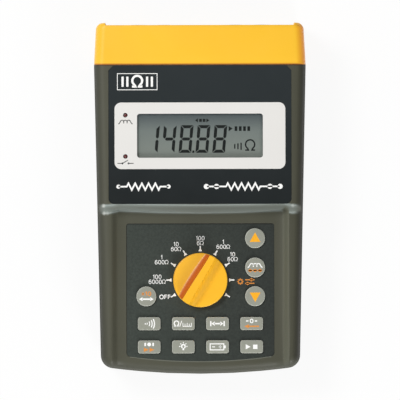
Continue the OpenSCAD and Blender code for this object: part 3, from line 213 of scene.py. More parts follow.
def blendColours(tree, factor, first, second):
    # the colour sockets of the mixer are 6, 7 and 2
    mixer = tree.nodes.new("ShaderNodeMix")
    mixer.data_type = "RGBA"
    tree.links.new(factor, mixer.inputs[0])
    for slot, colour in ((6, first), (7, second)):
        if isinstance(colour, tuple):
            mixer.inputs[slot].default_value = colour
        else:
            tree.links.new(colour, mixer.inputs[slot])
    return mixer.outputs[2]


def mottle(tree, colour, amount, scale):
    # slow drift of the colour, as in any moulding
    drift = stretch(tree, noise(tree, scale), *cloudSpan, 0, 1)
    return blendColours(tree, drift, shade(colour, 1 - amount), shade(colour, 1 + amount))


def softEdge(tree, radius):
    rounding = tree.nodes.new("ShaderNodeBevel")
    rounding.samples = edgeSamples
    rounding.inputs["Radius"].default_value = radius
    return rounding.outputs["Normal"]


def edgeMask(tree, rounded):
    # 1 where the rounded normal leaves that of the surface, so along sharp edges only
    flat = tree.nodes.new("ShaderNodeNewGeometry")
    across = tree.nodes.new("ShaderNodeVectorMath")
    across.operation = "DOT_PRODUCT"
    tree.links.new(rounded, across.inputs[0])
    tree.links.new(flat.outputs["Normal"], across.inputs[1])
    return stretch(tree, across.outputs["Value"], *sharpTurn, 0, 1)


def bump(tree, height, strength, distance, under=None):
    relief = tree.nodes.new("ShaderNodeBump")
    relief.inputs["Strength"].default_value = strength
    relief.inputs["Distance"].default_value = distance
    tree.links.new(height, relief.inputs["Height"])
    if under is not None:
        tree.links.new(under, relief.inputs["Normal"])
    return relief.outputs["Normal"]


def multiplied(tree, colour, wanted, base):
    # keeps the mottling of a colour while its mean moves from base to wanted
    ratio = tuple(min(w / b, 1.0) for w, b in zip(wanted[:3], base[:3]))
    change = tree.nodes.new("ShaderNodeMix")
    change.data_type = "RGBA"
    change.blend_type = "MULTIPLY"
    change.inputs[0].default_value = 1.0
    tree.links.new(colour, change.inputs[6])
    change.inputs[7].default_value = ratio + (1.0,)
    return change.outputs[2]


def profiled(tree, value, stops, toLow=0.0, toHigh=1.0):
    # a level that follows a list of (place in mm, share) stops, in rising order of place
    first, last = stops[0][0] * mm, stops[-1][0] * mm
    ramp = tree.nodes.new("ShaderNodeValToRGB")
    entries = ramp.color_ramp.elements
    while len(entries) < len(stops):
        entries.new(0.5)
    for i, (place, share) in enumerate(stops):
        entries[i].position = (place * mm - first) / (last - first)
        entries[i].color = (share, share, share, 1)
    tree.links.new(stretch(tree, value, first, last, 0, 1), ramp.inputs["Fac"])
    return stretch(tree, ramp.outputs["Color"], 0, 1, toLow, toHigh)


def paintedStepSheen(tree, colour, band):
    # painted sheen across the step between display and keypad, in place of the step's reflection of the pale
    # room, strongest where the step begins and ends
    where = axes(tree, local(tree, "Object"))
    aside = tree.nodes.new("ShaderNodeMath")
    aside.operation = "ABSOLUTE"
    tree.links.new(where["X"], aside.inputs[0])
    bow = profiled(tree, aside.outputs[0], band["bowStops"], 0, band["bow"])
    down = joined(tree, "SUBTRACT", where["Y"], bow)
    along = profiled(tree, down, band["downStops"])
    across = profiled(tree, where["X"], band["acrossStops"])
    onTop = stretch(tree, where["Z"], *band["topStops"], 0, 1)
    mask = joined(tree, "MULTIPLY", joined(tree, "MULTIPLY", along, across), onTop)
    colour = blendColours(tree, mask, colour, band["colour"])
    flat = tree.nodes.new("ShaderNodeCombineXYZ")
    tree.links.new(where["X"], flat.inputs[0])
    tree.links.new(where["Y"], flat.inputs[1])
    for x, y, strength in band["spots"]:
        # painted highlight spots at the ends of the step
        away = tree.nodes.new("ShaderNodeVectorMath")
        away.operation = "DISTANCE"
        away.inputs[1].default_value = (x * mm, y * mm, 0)
        tree.links.new(flat.outputs[0], away.inputs[0])
        near = stretch(tree, away.outputs["Value"], *band["spotReach"], strength, 0)
        colour = blendColours(tree, joined(tree, "MULTIPLY", near, onTop), colour, band["spotColour"])
    return colour


# The painted sheen and painted highlight spots on the step of the case. The stops and spots are in mm, each
# with its share of the whole:
# the bow at each distance from the middle, the strength down the step and the strength across it.
caseStepSheen = {
    "colour": paint(184, 197, 194),
    "bow": 1.7 * mm,
    "bowStops": [(0, 0.0), (30, 0.26), (59, 1.0), (63, 0.4), (67, 0.0), (80, 0.0)],
    "downStops": [(-12.2, 0.0), (-11.3, 0.10), (-10.6, 0.62), (-9.7, 0.42), (-7.4, 0.32), (-5.7, 0.42),
                  (-4.7, 0.66), (-3.5, 0.0)],
    "acrossStops": [(-78, 0.0), (-75, 0.08), (-72.5, 0.60), (-70.5, 1.0), (-67, 0.85), (-52, 0.92), (0, 0.64),
                    (56, 0.66), (68, 0.80), (71.5, 0.35), (74.5, 0.05), (78, 0.0)],
    "topStops": (38 * mm, 45 * mm),  # nothing below the first height, all above the second
    "spotColour": paint(226, 229, 222),
    "spotReach": (0.1 * mm, 1.7 * mm),
    "spots": [(-70.6, -5.0, 0.95), (-70.3, -10.6, 0.9), (-67.8, -10.6, 0.35), (67.6, -5.2, 0.3),
              (62.6, -10.2, 0.35)],
}

# One entry per finish, with lengths in metres. drift: colour change and its scale per metre.
# grain: scale, bump strength and depth. wear: how much paler the sharp edges are.
# edge: radius that softens them. flankRough: roughness of steep flanks. speckle: scale and strength of dots.
# rim: colour of a rolled edge. Flank shading, painted light and shade on flanks: a direction, the colour of
# flanks that face it, where that begins, where it is full, and the places on an axis where it fades in.
# fades: axis, two places, the far colour, its share; some fades are painted shade.
finishes = {
    "olive case moulding": dict(
        colour=paint(80, 80, 67), rough=0.47, roughSwing=0.035, drift=(0.04, 22),
        grain=(1500, 0.30, 0.00005), specular=0.32, wear=0.16, edge=0.0005, flankRough=0.85, stepSheen=caseStepSheen,
        # painted shade on the outer shoulders and on faces toward the bottom end; painted light on the right
        # inner tray wall and on upward faces near the bottom end, such as the keypad recess's lower lip
        paintedFlankShading=[((1, 0, 0), paint(40, 40, 31), 0.20, 0.85, ("X", 62 * mm, 66 * mm)),
             ((-1, 0, 0), paint(54, 55, 45), 0.15, 1.0, ("X", -62 * mm, -66 * mm)),
             ((-1, 0, 0), paint(98, 99, 85), 0.10, 0.6, ("X", 57 * mm, 60 * mm)),
             ((0, -1, 0), paint(72, 73, 62), 0.05, 0.7, ("Y", -88 * mm, -95 * mm)),
             ((0, 1, 0), paint(138, 142, 130), 0.15, 0.5, ("Y", -88 * mm, -92 * mm))],
        # painted shade: the case darkens toward the right; a painted shadow lies along the joint with the end
        # cap
        fades=[("X", -40 * mm, 70 * mm, paint(73, 73, 60), 1.0),
               ("Y", capJoint - 1.2 * mm, capJoint - 0.4 * mm, paint(80, 54, 30), 0.9)]),
    "yellow cap moulding": dict(
        colour=paint(255, 196, 46), rough=0.42, roughSwing=0.06, drift=(0.03, 16),
        grain=(1300, 0.22, 0.00005), specular=0.4, wear=0.08, edge=0.0005,
        # painted shade: the cap's right-facing flanks are a deeper orange
        paintedFlankShading=[((1, 0, 0), paint(240, 154, 30), 0.15, 0.9, None)],
        # painted shadow along the cap's lower edge at the joint with the front housing
        fades=[("Y", capJoint + 1.3 * mm, capJoint + 0.3 * mm, paint(186, 104, 28), 0.9)]),
    "knob yellow": dict(
        colour=paint(255, 190, 40), rough=0.34, roughSwing=0.05, drift=(0.03, 40),
        grain=(2400, 0.12, 0.00003), specular=0.45, wear=0.10, edge=0.0004,
        # painted shade: the grip's left flank is a deep orange
        paintedFlankShading=[((-0.82, 0.52, 0), paint(200, 96, 20), 0.10, 0.55, ("Z", 48.4 * mm, 48.8 * mm))]),
    "dark label film": dict(
        colour=paint(38, 44, 46), rough=0.46, roughSwing=0.05, drift=(0.07, 14),
        grain=(2600, 0.12, 0.00002), specular=0.2, wear=0.5, edge=0.00025,
        fades=[("Y", 70 * mm, -4 * mm, paint(26, 31, 32), 1.0)]),
    "white surround lacquer": dict(
        colour=paint(230, 228, 224), rough=0.40, roughSwing=0.04, drift=(0.012, 20),
        grain=(2200, 0.06, 0.00002), specular=0.4, wear=0.04, edge=0.0003),
    "grained keypad film": dict(
        colour=paint(62, 69, 63), rough=0.55, roughSwing=0.08, drift=(0.10, 9),
        grain=(900, 0.55, 0.00012), specular=0.3, wear=0.25, edge=0.0003, speckle=(700, 0.30),
        fades=[("X", -52 * mm, 54 * mm, paint(46, 51, 47), 1.0),
               # painted shadow along the top and left edges of the film, where its pocket's edge shades it
               ("Y", -19.2 * mm, -18.4 * mm, paint(28, 30, 26), 0.8),
               ("X", -53.4 * mm, -53.9 * mm, paint(28, 30, 26), 0.6)]),
    "grey key plastic": dict(
        colour=paint(150, 152, 140), rough=0.44, roughSwing=0.05, drift=(0.03, 60),
        grain=(2600, 0.12, 0.00003), specular=0.45, wear=0.25, edge=0.0003, rim=paint(196, 198, 188)),
    "red lamp lens": dict(
        colour=paint(96, 30, 30), rough=0.14, roughSwing=0.03, drift=(0.08, 300),
        grain=(3000, 0.03, 0.00001), specular=0.6, wear=0.0, edge=0.0002, coat=0.6),
    "red collar plastic": dict(
        colour=paint(190, 28, 24), rough=0.32, roughSwing=0.05, drift=(0.03, 80),
        grain=(2000, 0.1, 0.00002), specular=0.5, wear=0.1, edge=0.0003),
    "black plastic": dict(
        colour=paint(32, 32, 33), rough=0.42, roughSwing=0.07, drift=(0.08, 60),
        grain=(1800, 0.2, 0.00004), specular=0.45, wear=0.4, edge=0.0003),
    "dark stand plastic": dict(
        colour=paint(46, 49, 47), rough=0.50, roughSwing=0.07, drift=(0.06, 30),
        grain=(1500, 0.3, 0.00005), specular=0.45, wear=0.35, edge=0.0005),
    "foot rubber": dict(
        colour=paint(34, 34, 34), rough=0.78, roughSwing=0.08, drift=(0.10, 90),
        grain=(1200, 0.4, 0.00006), specular=0.3, wear=0.2, edge=0.0004),
    "keypad rubber": dict(
        colour=paint(56, 56, 60), rough=0.72, roughSwing=0.06, drift=(0.08, 60),
        grain=(1500, 0.3, 0.00005), specular=0.3, wear=0.1, edge=0.0003),
    "socket brass": dict(
        colour=paint(205, 172, 98), rough=0.26, roughSwing=0.08, drift=(0.06, 200),
        grain=(3500, 0.12, 0.00002), specular=0.5, wear=0.1, edge=0.0002, metal=1.0),
    "plain steel": dict(
        colour=paint(176, 178, 182), rough=0.32, roughSwing=0.10, drift=(0.06, 150),
        grain=(3000, 0.2, 0.00003), specular=0.5, wear=0.1, edge=0.0002, metal=1.0),
    "shunt copper alloy": dict(
        colour=paint(186, 128, 88), rough=0.36, roughSwing=0.10, drift=(0.08, 120),
        grain=(2500, 0.2, 0.00003), specular=0.5, wear=0.1, edge=0.0002, metal=1.0),
    "black anodised fins": dict(
        colour=paint(48, 48, 50), rough=0.45, roughSwing=0.08, drift=(0.08, 80),
        grain=(2000, 0.2, 0.00003), specular=0.5, wear=0.3, edge=0.0002, metal=0.6),
    "green board lacquer": dict(
        colour=paint(28, 92, 58), rough=0.34, roughSwing=0.06, drift=(0.08, 120),
        grain=(1800, 0.15, 0.00003), specular=0.5, wear=0.0, edge=0.0002),
    "white diffuser": dict(
        colour=paint(232, 236, 228), rough=0.5, roughSwing=0.04, drift=(0.01, 40),
        grain=(2000, 0.1, 0.00002), specular=0.4, wear=0.0, edge=0.0002),
    "ivory rotor plastic": dict(
        colour=paint(222, 218, 200), rough=0.42, roughSwing=0.05, drift=(0.02, 60),
        grain=(2000, 0.15, 0.00002), specular=0.45, wear=0.05, edge=0.0003),
    "green block plastic": dict(
        colour=paint(52, 118, 66), rough=0.42, roughSwing=0.05, drift=(0.04, 60),
        grain=(2000, 0.15, 0.00002), specular=0.45, wear=0.1, edge=0.0003),
    "red wire sleeve": dict(
        colour=paint(180, 34, 28), rough=0.38, roughSwing=0.05, drift=(0.04, 90),
        grain=(2500, 0.1, 0.00002), specular=0.45, wear=0.0, edge=0.0002),
    "cell sleeve": dict(
        colour=paint(66, 80, 128), rough=0.28, roughSwing=0.05, drift=(0.06, 60),
        grain=(2500, 0.08, 0.00002), specular=0.5, wear=0.2, edge=0.0003),
    "white print": dict(
        colour=paint(252, 252, 249), rough=0.55, roughSwing=0.05, drift=(0.03, 400),
        grain=(4000, 0.1, 0.00001), specular=0.3, wear=0.0, edge=0.00005),
    "orange print": dict(
        colour=paint(226, 146, 66), rough=0.55, roughSwing=0.05, drift=(0.04, 400),
        grain=(4000, 0.1, 0.00001), specular=0.3, wear=0.0, edge=0.00005),
    "bright orange print": dict(
        colour=paint(252, 178, 36), rough=0.52, roughSwing=0.05, drift=(0.03, 400),
        grain=(4000, 0.1, 0.00001), specular=0.3, wear=0.0, edge=0.00005),
    "dark print": dict(
        colour=paint(78, 78, 76), rough=0.55, roughSwing=0.05, drift=(0.05, 400),
        grain=(4000, 0.1, 0.00001), specular=0.3, wear=0.0, edge=0.00005),
    "lcd segments": dict(
        colour=paint(20, 24, 22), rough=0.5, roughSwing=0.04, drift=(0.08, 300),
        grain=(4000, 0.05, 0.00001), specular=0.2, wear=0.0, edge=0.00005),
}
madeFinishes = {}

# Detail that all finishes share. A noise is its scale, detail and roughness.
# Dots and grain bring their own scale.
skin = {
    "coatRough": 0.05,
    "dotNoise": (3, 0.7),
    "dotSpan": (0.35, 0.65),
    "rolledTurn": (0.99, 0.8),
    "wearNoise": (240, 3),
    "wearSpan": (0.42, 0.62),
    "wearGain": 1.4,
    "wearLift": 0.12,
    "roughNoise": (70, 4, 0.6),
    "flankLevel": (0.15, 0.7),
    "grainNoise": (3, 0.6),
}


def colourWithPaintedLight(tree, recipe):
    # the piece's own colour together with its painted light and shade: step sheen, flank shading and some
    # fades
    base = recipe["colour"]
    colour = mottle(tree, base, *recipe["drift"])
    if "speckle" in recipe:
        scale, amount = recipe["speckle"]
        dots = stretch(tree, noise(tree, scale, *skin["dotNoise"]), *skin["dotSpan"], 0, 1)
        colour = blendColours(tree, dots, shade(base, 1 - amount), colour)
    for axis, start, full, farColour, strength in recipe.get("fades", []):
        # the colour drifts from one place on the piece to another; some of these drifts are painted shade and
        # painted shadow
        share = stretch(tree, axes(tree, local(tree, "Object"))[axis], start, full, 0, strength)
        colour = blendColours(tree, share, colour, multiplied(tree, colour, farColour, base))
    # painted sheen and painted highlight spots on the step of the case
    if "stepSheen" in recipe:
        colour = paintedStepSheen(tree, colour, recipe["stepSheen"])
    for toward, flankLightShadeColour, start, full, within in recipe.get("paintedFlankShading", []):
        # painted light and shade: flanks that turn to one side take a lighter or darker colour in place of
        # the light that falls on them
        share = stretch(tree, facing(tree, local(tree, "Normal"), toward), start, full, 0, 1)
        if within is not None:
            axis, nothing, everything = within
            inside = stretch(tree, axes(tree, local(tree, "Object"))[axis], nothing, everything, 0, 1)
            share = joined(tree, "MULTIPLY", share, inside)
        colour = blendColours(tree, share, colour, flankLightShadeColour)
    if "rim" in recipe:
        # the rolled edge of a key is paler than its top
        upright = axes(tree, tree.nodes.new("ShaderNodeNewGeometry").outputs["Normal"])["Z"]
        colour = blendColours(tree, stretch(tree, upright, *skin["rolledTurn"], 0, 1), colour, recipe["rim"])
    return colour


def wornEdges(tree, colour, recipe, rounded):
    wear = stretch(tree, noise(tree, *skin["wearNoise"]), *skin["wearSpan"], 0, recipe["wear"])
    mask = joined(tree, "MULTIPLY", edgeMask(tree, rounded), wear)
    pale = tuple(min(part * skin["wearGain"] + skin["wearLift"], 1.0) for part in recipe["colour"][:3])
    return blendColours(tree, mask, colour, pale + (1.0,))


def roughLevel(tree, recipe):
    low, high = recipe["rough"] - recipe["roughSwing"], recipe["rough"] + recipe["roughSwing"]
    level = stretch(tree, noise(tree, *skin["roughNoise"]), *cloudSpan, low, high)
    if "flankRough" in recipe:
        # drafted flanks keep the matt skin of the mould
        upright = axes(tree, local(tree, "Normal"))["Z"]
        matt = stretch(tree, upright, *skin["flankLevel"], recipe["flankRough"], 0)
        level = joined(tree, "MAXIMUM", level, matt)
    return level


def finish(name):
    if name in madeFinishes:
        return madeFinishes[name]
    recipe = finishes[name]
    material, tree, shader = startMaterial(name)
    shader.inputs["Metallic"].default_value = recipe.get("metal", 0.0)
    shader.inputs["Specular IOR Level"].default_value = recipe["specular"]
    shader.inputs["Coat Weight"].default_value = recipe.get("coat", 0.0)
    shader.inputs["Coat Roughness"].default_value = skin["coatRough"]
    colour = colourWithPaintedLight(tree, recipe)
    rounded = softEdge(tree, recipe["edge"])
    if recipe["wear"] > 0:
        colour = wornEdges(tree, colour, recipe, rounded)
    tree.links.new(colour, shader.inputs["Base Color"])
    tree.links.new(roughLevel(tree, recipe), shader.inputs["Roughness"])
    scale, strength, depth = recipe["grain"]
    grain = bump(tree, noise(tree, scale, *skin["grainNoise"]), strength, depth, rounded)
    tree.links.new(grain, shader.inputs["Normal"])
    madeFinishes[name] = material
    return material


# The liquid crystal panel has painted shade and reflection: darker toward the top, where the window's edge
# shades it, and paler toward the keypad. It has a faint cloth-like polariser grain
lcdPanel = {
    "top": paint(76, 86, 90),
    "middle": paint(124, 133, 129),
    "bottom": paint(138, 145, 137),
    "topY": 62.4 * mm,
    "middleShare": 0.4,
    "bottomY": 30.3 * mm,
    "gloss": 0.3,
    "rough": 0.42,
    "fleckScale": 2200,
    "fleckShare": 0.12,
    "weaveScale": 3000,
    "weaveStrength": 0.06,
    "weaveDepth": 0.01 * mm,
}


def lcdFilm():
    material, tree, shader = startMaterial("lcd polariser film")
    shader.inputs["Specular IOR Level"].default_value = lcdPanel["gloss"]
    shader.inputs["Roughness"].default_value = lcdPanel["rough"]
    place = axes(tree, local(tree, "Object"))["Y"]
    down = stretch(tree, place, lcdPanel["topY"], lcdPanel["bottomY"], 0, 1)
    ramp = tree.nodes.new("ShaderNodeValToRGB")
    ramp.color_ramp.elements[0].color = lcdPanel["top"]
    ramp.color_ramp.elements[1].color = lcdPanel["bottom"]
    between = ramp.color_ramp.elements.new(lcdPanel["middleShare"])
    between.color = lcdPanel["middle"]
    tree.links.new(down, ramp.inputs["Fac"])
    fleck = stretch(tree, noise(tree, lcdPanel["fleckScale"]), *cloudSpan, 0, lcdPanel["fleckShare"])
    colour = blendColours(tree, fleck, ramp.outputs["Color"], lcdPanel["middle"])
    tree.links.new(colour, shader.inputs["Base Color"])
    weave = bump(tree, noise(tree, lcdPanel["weaveScale"]), lcdPanel["weaveStrength"], lcdPanel["weaveDepth"])
    tree.links.new(weave, shader.inputs["Normal"])
    return material


# Clear pieces: name of the finish, tint, and how much of it shows
clearPieces = {
    "display_lens": ("clear window", paint(60, 66, 66), 0.05),
    "fuse": ("fuse glass", paint(222, 230, 230), 0.45),
}
clearSkin = {"gloss": 0.5, "drift": (0.02, 40), "roughNoise": (90, 3), "roughRange": (0.06, 0.12)}


def clearFinish(name, tint, alpha):
    material, tree, shader = startMaterial(name)
    shader.inputs["Alpha"].default_value = alpha
    shader.inputs["Specular IOR Level"].default_value = clearSkin["gloss"]
    tree.links.new(mottle(tree, tint, *clearSkin["drift"]), shader.inputs["Base Color"])
    level = stretch(tree, noise(tree, *clearSkin["roughNoise"]), *cloudSpan, *clearSkin["roughRange"])
    tree.links.new(level, shader.inputs["Roughness"])
    return material


buildRoom()
buildLamp("mainLamp")
buildLamp("lowLamp")
buildFloor()
print("studio built")

# Which finish each CAD node wears
nodeFinish = {
    "front_housing": "olive case moulding", "rear_housing": "olive case moulding",
    "battery_cover": "olive case moulding", "terminal_cap": "yellow cap moulding",
    "terminal_panel": "dark label film",
    "collars_red": "red collar plastic", "collars_black": "black plastic",
    "socket_sleeves": "socket brass", "adaptor_inlet": "black plastic", "inlet_pin": "plain steel",
    "front_label": "dark label film", "display_surround": "white surround lacquer",
    "lcd_holder": "black plastic", "backlight_panel": "white diffuser", "contact_strips": "keypad rubber",
    "display_board": "green board lacquer", "display_screws": "plain steel",
    "lamp_upper": "red lamp lens", "lamp_lower": "red lamp lens",
    "keypad_panel": "grained keypad film", "keypad_mat": "keypad rubber",
    "main_board": "green board lacquer", "board_screws": "plain steel",
    "range_knob": "knob yellow", "switch_rotor": "ivory rotor plastic", "switch_wipers": "socket brass",
    "contact_ring": "socket brass", "detent_springs": "plain steel",
    "terminal_board": "green board lacquer", "sense_wires": "red wire sleeve",
    "wire_block": "green block plastic", "buzzer": "black plastic", "current_shunt": "shunt copper alloy",
    "heat_sink": "black anodised fins", "fuse_clips": "plain steel",
    "battery_holder": "black plastic", "battery_cells": "cell sleeve", "battery_contacts": "plain steel",
    "battery_cover_screws": "plain steel", "tilt_stand": "dark stand plastic",
    "case_screws": "plain steel", "rubber_feet": "foot rubber",
}

# How the carried-over meshes are smoothed
smoothing = {
    "limit": 28,  # edges that bend by more degrees than this stay sharp
    "weld": 0.002 * mm,
}


def smoothByAngle():
    # joins the split corners of the carried-over meshes and smooths all but the sharp edges
    group = bpy.data.node_groups.new("Smooth by angle", "GeometryNodeTree")
    group.interface.new_socket("Geometry", in_out="INPUT", socket_type="NodeSocketGeometry")
    group.interface.new_socket("Geometry", in_out="OUTPUT", socket_type="NodeSocketGeometry")
    make = group.nodes.new
    entry, leave = make("NodeGroupInput"), make("NodeGroupOutput")
    forget = make("GeometryNodeRemoveAttribute")
    forget.inputs["Name"].default_value = "custom_normal"
    weld = make("GeometryNodeMergeByDistance")
    weld.inputs["Distance"].default_value = smoothing["weld"]
    faces = make("GeometryNodeSetShadeSmooth")
    faces.domain = "FACE"
    edges = make("GeometryNodeSetShadeSmooth")
    edges.domain = "EDGE"
    edges.inputs["Shade Smooth"].default_value = False
    bend = make("GeometryNodeInputMeshEdgeAngle")
    sharp = make("ShaderNodeMath")
    sharp.operation = "GREATER_THAN"
    sharp.inputs[1].default_value = math.radians(smoothing["limit"])
    link = group.links.new
    link(entry.outputs[0], forget.inputs["Geometry"])
    link(forget.outputs["Geometry"], weld.inputs["Geometry"])
    link(weld.outputs["Geometry"], faces.inputs["Geometry"])
    link(faces.outputs["Geometry"], edges.inputs["Geometry"])
    link(bend.outputs["Unsigned Angle"], sharp.inputs[0])
    link(sharp.outputs[0], edges.inputs["Selection"])
    link(edges.outputs["Geometry"], leave.inputs[0])
    return group


smoothGroup = smoothByAngle()


def dress(node, material):
    target = nodes[node]
    if not target.material_slots:
        target.data.materials.append(None)
    for place in target.material_slots:
        place.link = "OBJECT"
        place.material = material
    modifier = target.modifiers.new("Smooth by angle", "NODES")
    modifier.node_group = smoothGroup


for nodeName, finishName in nodeFinish.items():
    dress(nodeName, finish(finishName))
for nodeName in nodes:
    if nodeName.startswith("button_"):
        dress(nodeName, finish("grey key plastic"))
dress("lcd_glass", lcdFilm())
for nodeName, look in clearPieces.items():
    dress(nodeName, clearFinish(*look))
print("finishes on all nodes")

# Prints: thin ink shapes that lie on a surface. All their places, sizes and pens are in mm.
inkThick = {"film": 0.02, "panel": 0.03}
narrowMitre = 0.35  # keeps the joint of a sharp bend from running out into a spike


def strokes(points, width, closed=False):
    # one flat quad for each run of a line, with mitred joints
    count = len(points)
    left, right = [], []
    for i in range(count):
        here = Vector(points[i])
        before = Vector(points[i - 1]) if i > 0 or closed else None
        after = Vector(points[(i + 1) % count]) if i < count - 1 or closed else None
        runIn = (here - before).normalized() if before is not None else None
        runOut = (after - here).normalized() if after is not None else None
        if runIn is None:
            runIn = runOut
        if runOut is None:
            runOut = runIn
        middle = (runIn + runOut).normalized()
        normal = Vector((-middle.y, middle.x))
        spread = width / 2 / max(narrowMitre, abs(Vector((-runIn.y, runIn.x)).dot(normal)))
        left.append(here + normal * spread)
        right.append(here - normal * spread)
    last = count if closed else count - 1
    return [[right[i], right[(i + 1) % count], left[(i + 1) % count], left[i]] for i in range(last)]


def arc(x, y, radius, fromAngle, toAngle, steps):
    turn = [math.radians(fromAngle + (toAngle - fromAngle) * i / steps) for i in range(steps + 1)]
    return [(x + radius * math.cos(a), y + radius * math.sin(a)) for a in turn]


def disc(x, y, radius, steps):
    return [arc(x, y, radius, 0, 360 - 360 / steps, steps - 1)]


def bar(x, y, width, height):
    return [[(x - width / 2, y - height / 2), (x + width / 2, y - height / 2),
             (x + width / 2, y + height / 2), (x - width / 2, y + height / 2)]]


def wedge(x, y, back, half):
    # arrow head with its tip at x and y; back is how far its base lies to the right
    return [[(x, y), (x + back, y + half), (x + back, y - half)]]


def omega(x, y, height, width):
    # resistance sign: an open ring on two feet
    radius = height * 0.42
    ring = arc(x, y + height * 0.08, radius, -58, 238, 20)
    foot = y - height * 0.5 + width / 2
    shapes = strokes(ring, width)
    for side, end in ((-1, ring[-1]), (1, ring[0])):
        toe, heel = x + side * radius * 1.05, x + side * radius * 0.38
        shapes += strokes([(toe, foot), (heel, foot), end], width)
    return shapes


def coil(x, y, size, width):
    # winding sign: two curved leads and three humps with legs between them
    hump = size * 0.115
    top = y + size * 0.02
    leadIn = [(x - size * 0.5, y - size * 0.12), (x - size * 0.44, y - size * 0.11),
              (x - size * 0.39, y - size * 0.04)]
    leadOut = [(2 * x - px, py) for px, py in reversed(leadIn)]
    humps = (arc(x - 2 * hump, top, hump, 170, 20, 8) + arc(x, top, hump, 160, 20, 8)
             + arc(x + 2 * hump, top, hump, 160, 10, 8))
    shapes = strokes(leadIn + humps + leadOut, width)
    for k in (-1, 1):
        shapes += strokes([(x + hump * k, y + size * 0.05), (x + hump * k, y - size * 0.09)], width)
    return shapes


# Plain drawn digits and letters: width, pen lines in a box one high, and whether the lines close
penLines = {
    "0": (0.62, [[(0.31, 1.0), (0.13, 0.92), (0.02, 0.70), (0.0, 0.5), (0.02, 0.30), (0.13, 0.08),
                  (0.31, 0.0), (0.49, 0.08), (0.60, 0.30), (0.62, 0.5), (0.60, 0.70), (0.49, 0.92)]], True),
    "1": (0.34, [[(0.04, 0.76), (0.26, 0.98), (0.26, 0.0)]], False),
    "6": (0.62, [[(0.57, 0.84), (0.46, 0.97), (0.31, 1.0), (0.12, 0.86), (0.02, 0.55), (0.03, 0.25),
                  (0.16, 0.03), (0.34, 0.0), (0.53, 0.08), (0.62, 0.30), (0.54, 0.54), (0.34, 0.62),
                  (0.14, 0.54), (0.04, 0.36)]], False),
    "O": (0.78, [[(0.39, 1.0), (0.15, 0.92), (0.02, 0.70), (0.0, 0.5), (0.02, 0.30), (0.15, 0.08),
                  (0.39, 0.0), (0.63, 0.08), (0.76, 0.30), (0.78, 0.5), (0.76, 0.70), (0.63, 0.92)]], True),
    "F": (0.52, [[(0.52, 0.96), (0.04, 0.96), (0.04, 0.0)], [(0.04, 0.52), (0.44, 0.52)]], False),
    "x": (0.50, [[(0.0, 0.16), (0.50, 0.80)], [(0.0, 0.80), (0.50, 0.16)]], False),
}
letterGap = 0.26


def lettering(text, x, y, height, pen, broad=1.0):
    # centred on x and y; broad widens the letters
    total = sum(penLines[c][0] for c in text) + letterGap * (len(text) - 1)
    at = -total / 2
    shapes = []
    for c in text:
        wide, lines, closed = penLines[c]
        for line in lines:
            places = [(x + (at + px) * height * broad, y + (py - 0.5) * height) for px, py in line]
            shapes += strokes(places, pen, closed)
        at += wide + letterGap
    return shapes


def printLayer(name, shapes, height, body, finishName, thickness=inkThick["panel"]):
    # each shape becomes a thin plate whose underside lies at the given height, in metres
    build = bmesh.new()
    for shape in shapes:
        under = [build.verts.new((p[0] * mm, p[1] * mm, height)) for p in shape]
        over = [build.verts.new((p[0] * mm, p[1] * mm, height + thickness * mm)) for p in shape]
        count = len(shape)
        build.faces.new(over)
        build.faces.new(under[::-1])
        for i in range(count):
            build.faces.new((under[i], under[(i + 1) % count], over[(i + 1) % count], over[i]))
    bmesh.ops.recalc_face_normals(build, faces=build.faces)
    mesh = bpy.data.meshes.new(name)
    build.to_mesh(mesh)
    build.free()
    mesh.materials.append(finish(finishName))
    piece = bpy.data.objects.new(name, mesh)
    bpy.context.scene.collection.objects.link(piece)
    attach(piece, body)
    return piece


# Display: five slanted digits with a point after the third
reading = {
    "digits": "14888",
    "lowY": 33.5,
    "height": 20.2,
    "digitWidth": 9.3,
    "pitch": 12.3,
    "lastRight": 18.2,
    "stroke": 2.25,
    "gap": 0.28,
    "slant": 5.0,
    "pointAfter": 3,
    "pointRight": 1.45,
    "pointSize": (1.6, 1.7),
    "segments": {"1": "bc", "4": "bcfg", "8": "abcdefg"},
}
# Small signs on the display
displaySigns = {
    "ohm": (36.6, 38.9, 8.0, 1.05),
    "rising": {"count": 3, "x": 25.4, "pitch": 2.3, "y": 38.2, "width": 0.95, "height": 3.4, "growth": 0.9},
    "row": {"count": 4, "x": 26.3, "pitch": 3.1, "y": 51.1, "width": 2.0, "height": 3.4, "growth": 0},
    "arrows": [(23.9, 51.1, -3.0, 1.9), (-3.6, 57.2, 2.1, 1.5), (6.8, 57.2, -2.1, 1.5)],
    "blocks": [(0.4, 57.2, 2.0, 2.2), (3.0, 57.2, 2.0, 2.2)],
}


def digitShapes(kind, left):
    # the seven segments are named a to g, clockwise from the top, with g in the middle
    low, width, height = reading["lowY"], reading["digitWidth"], reading["height"]
    stroke, gap = reading["stroke"], reading["gap"]
    right, top, middle, half = left + width, low + height, low + height / 2, stroke / 2
    inLeft, inRight = left + stroke, right - stroke
    upper, lower = middle + half, middle - half
    plan = {
        "a": [(left + gap, top), (right - gap, top), (inRight - gap, top - stroke),
              (inLeft + gap, top - stroke)],
        "b": [(right, top - gap), (right, upper + gap), (right - half, middle + gap), (inRight, upper + gap),
              (inRight, top - stroke - gap)],
        "c": [(right, low + gap), (inRight, low + stroke + gap), (inRight, lower - gap),
              (right - half, middle - gap), (right, lower - gap)],
        "d": [(left + gap, low), (inLeft + gap, low + stroke), (inRight - gap, low + stroke),
              (right - gap, low)],
        "e": [(left, low + gap), (left, lower - gap), (left + half, middle - gap), (inLeft, lower - gap),
              (inLeft, low + stroke + gap)],
        "f": [(left, top - gap), (inLeft, top - stroke - gap), (inLeft, upper + gap),
              (left + half, middle + gap), (left, upper + gap)],
        "g": [(left + half + gap, middle), (inLeft + gap, upper), (inRight - gap, upper),
              (right - half - gap, middle), (inRight - gap, lower), (inLeft + gap, lower)],
    }
    return [plan[segment] for segment in reading["segments"][kind]]


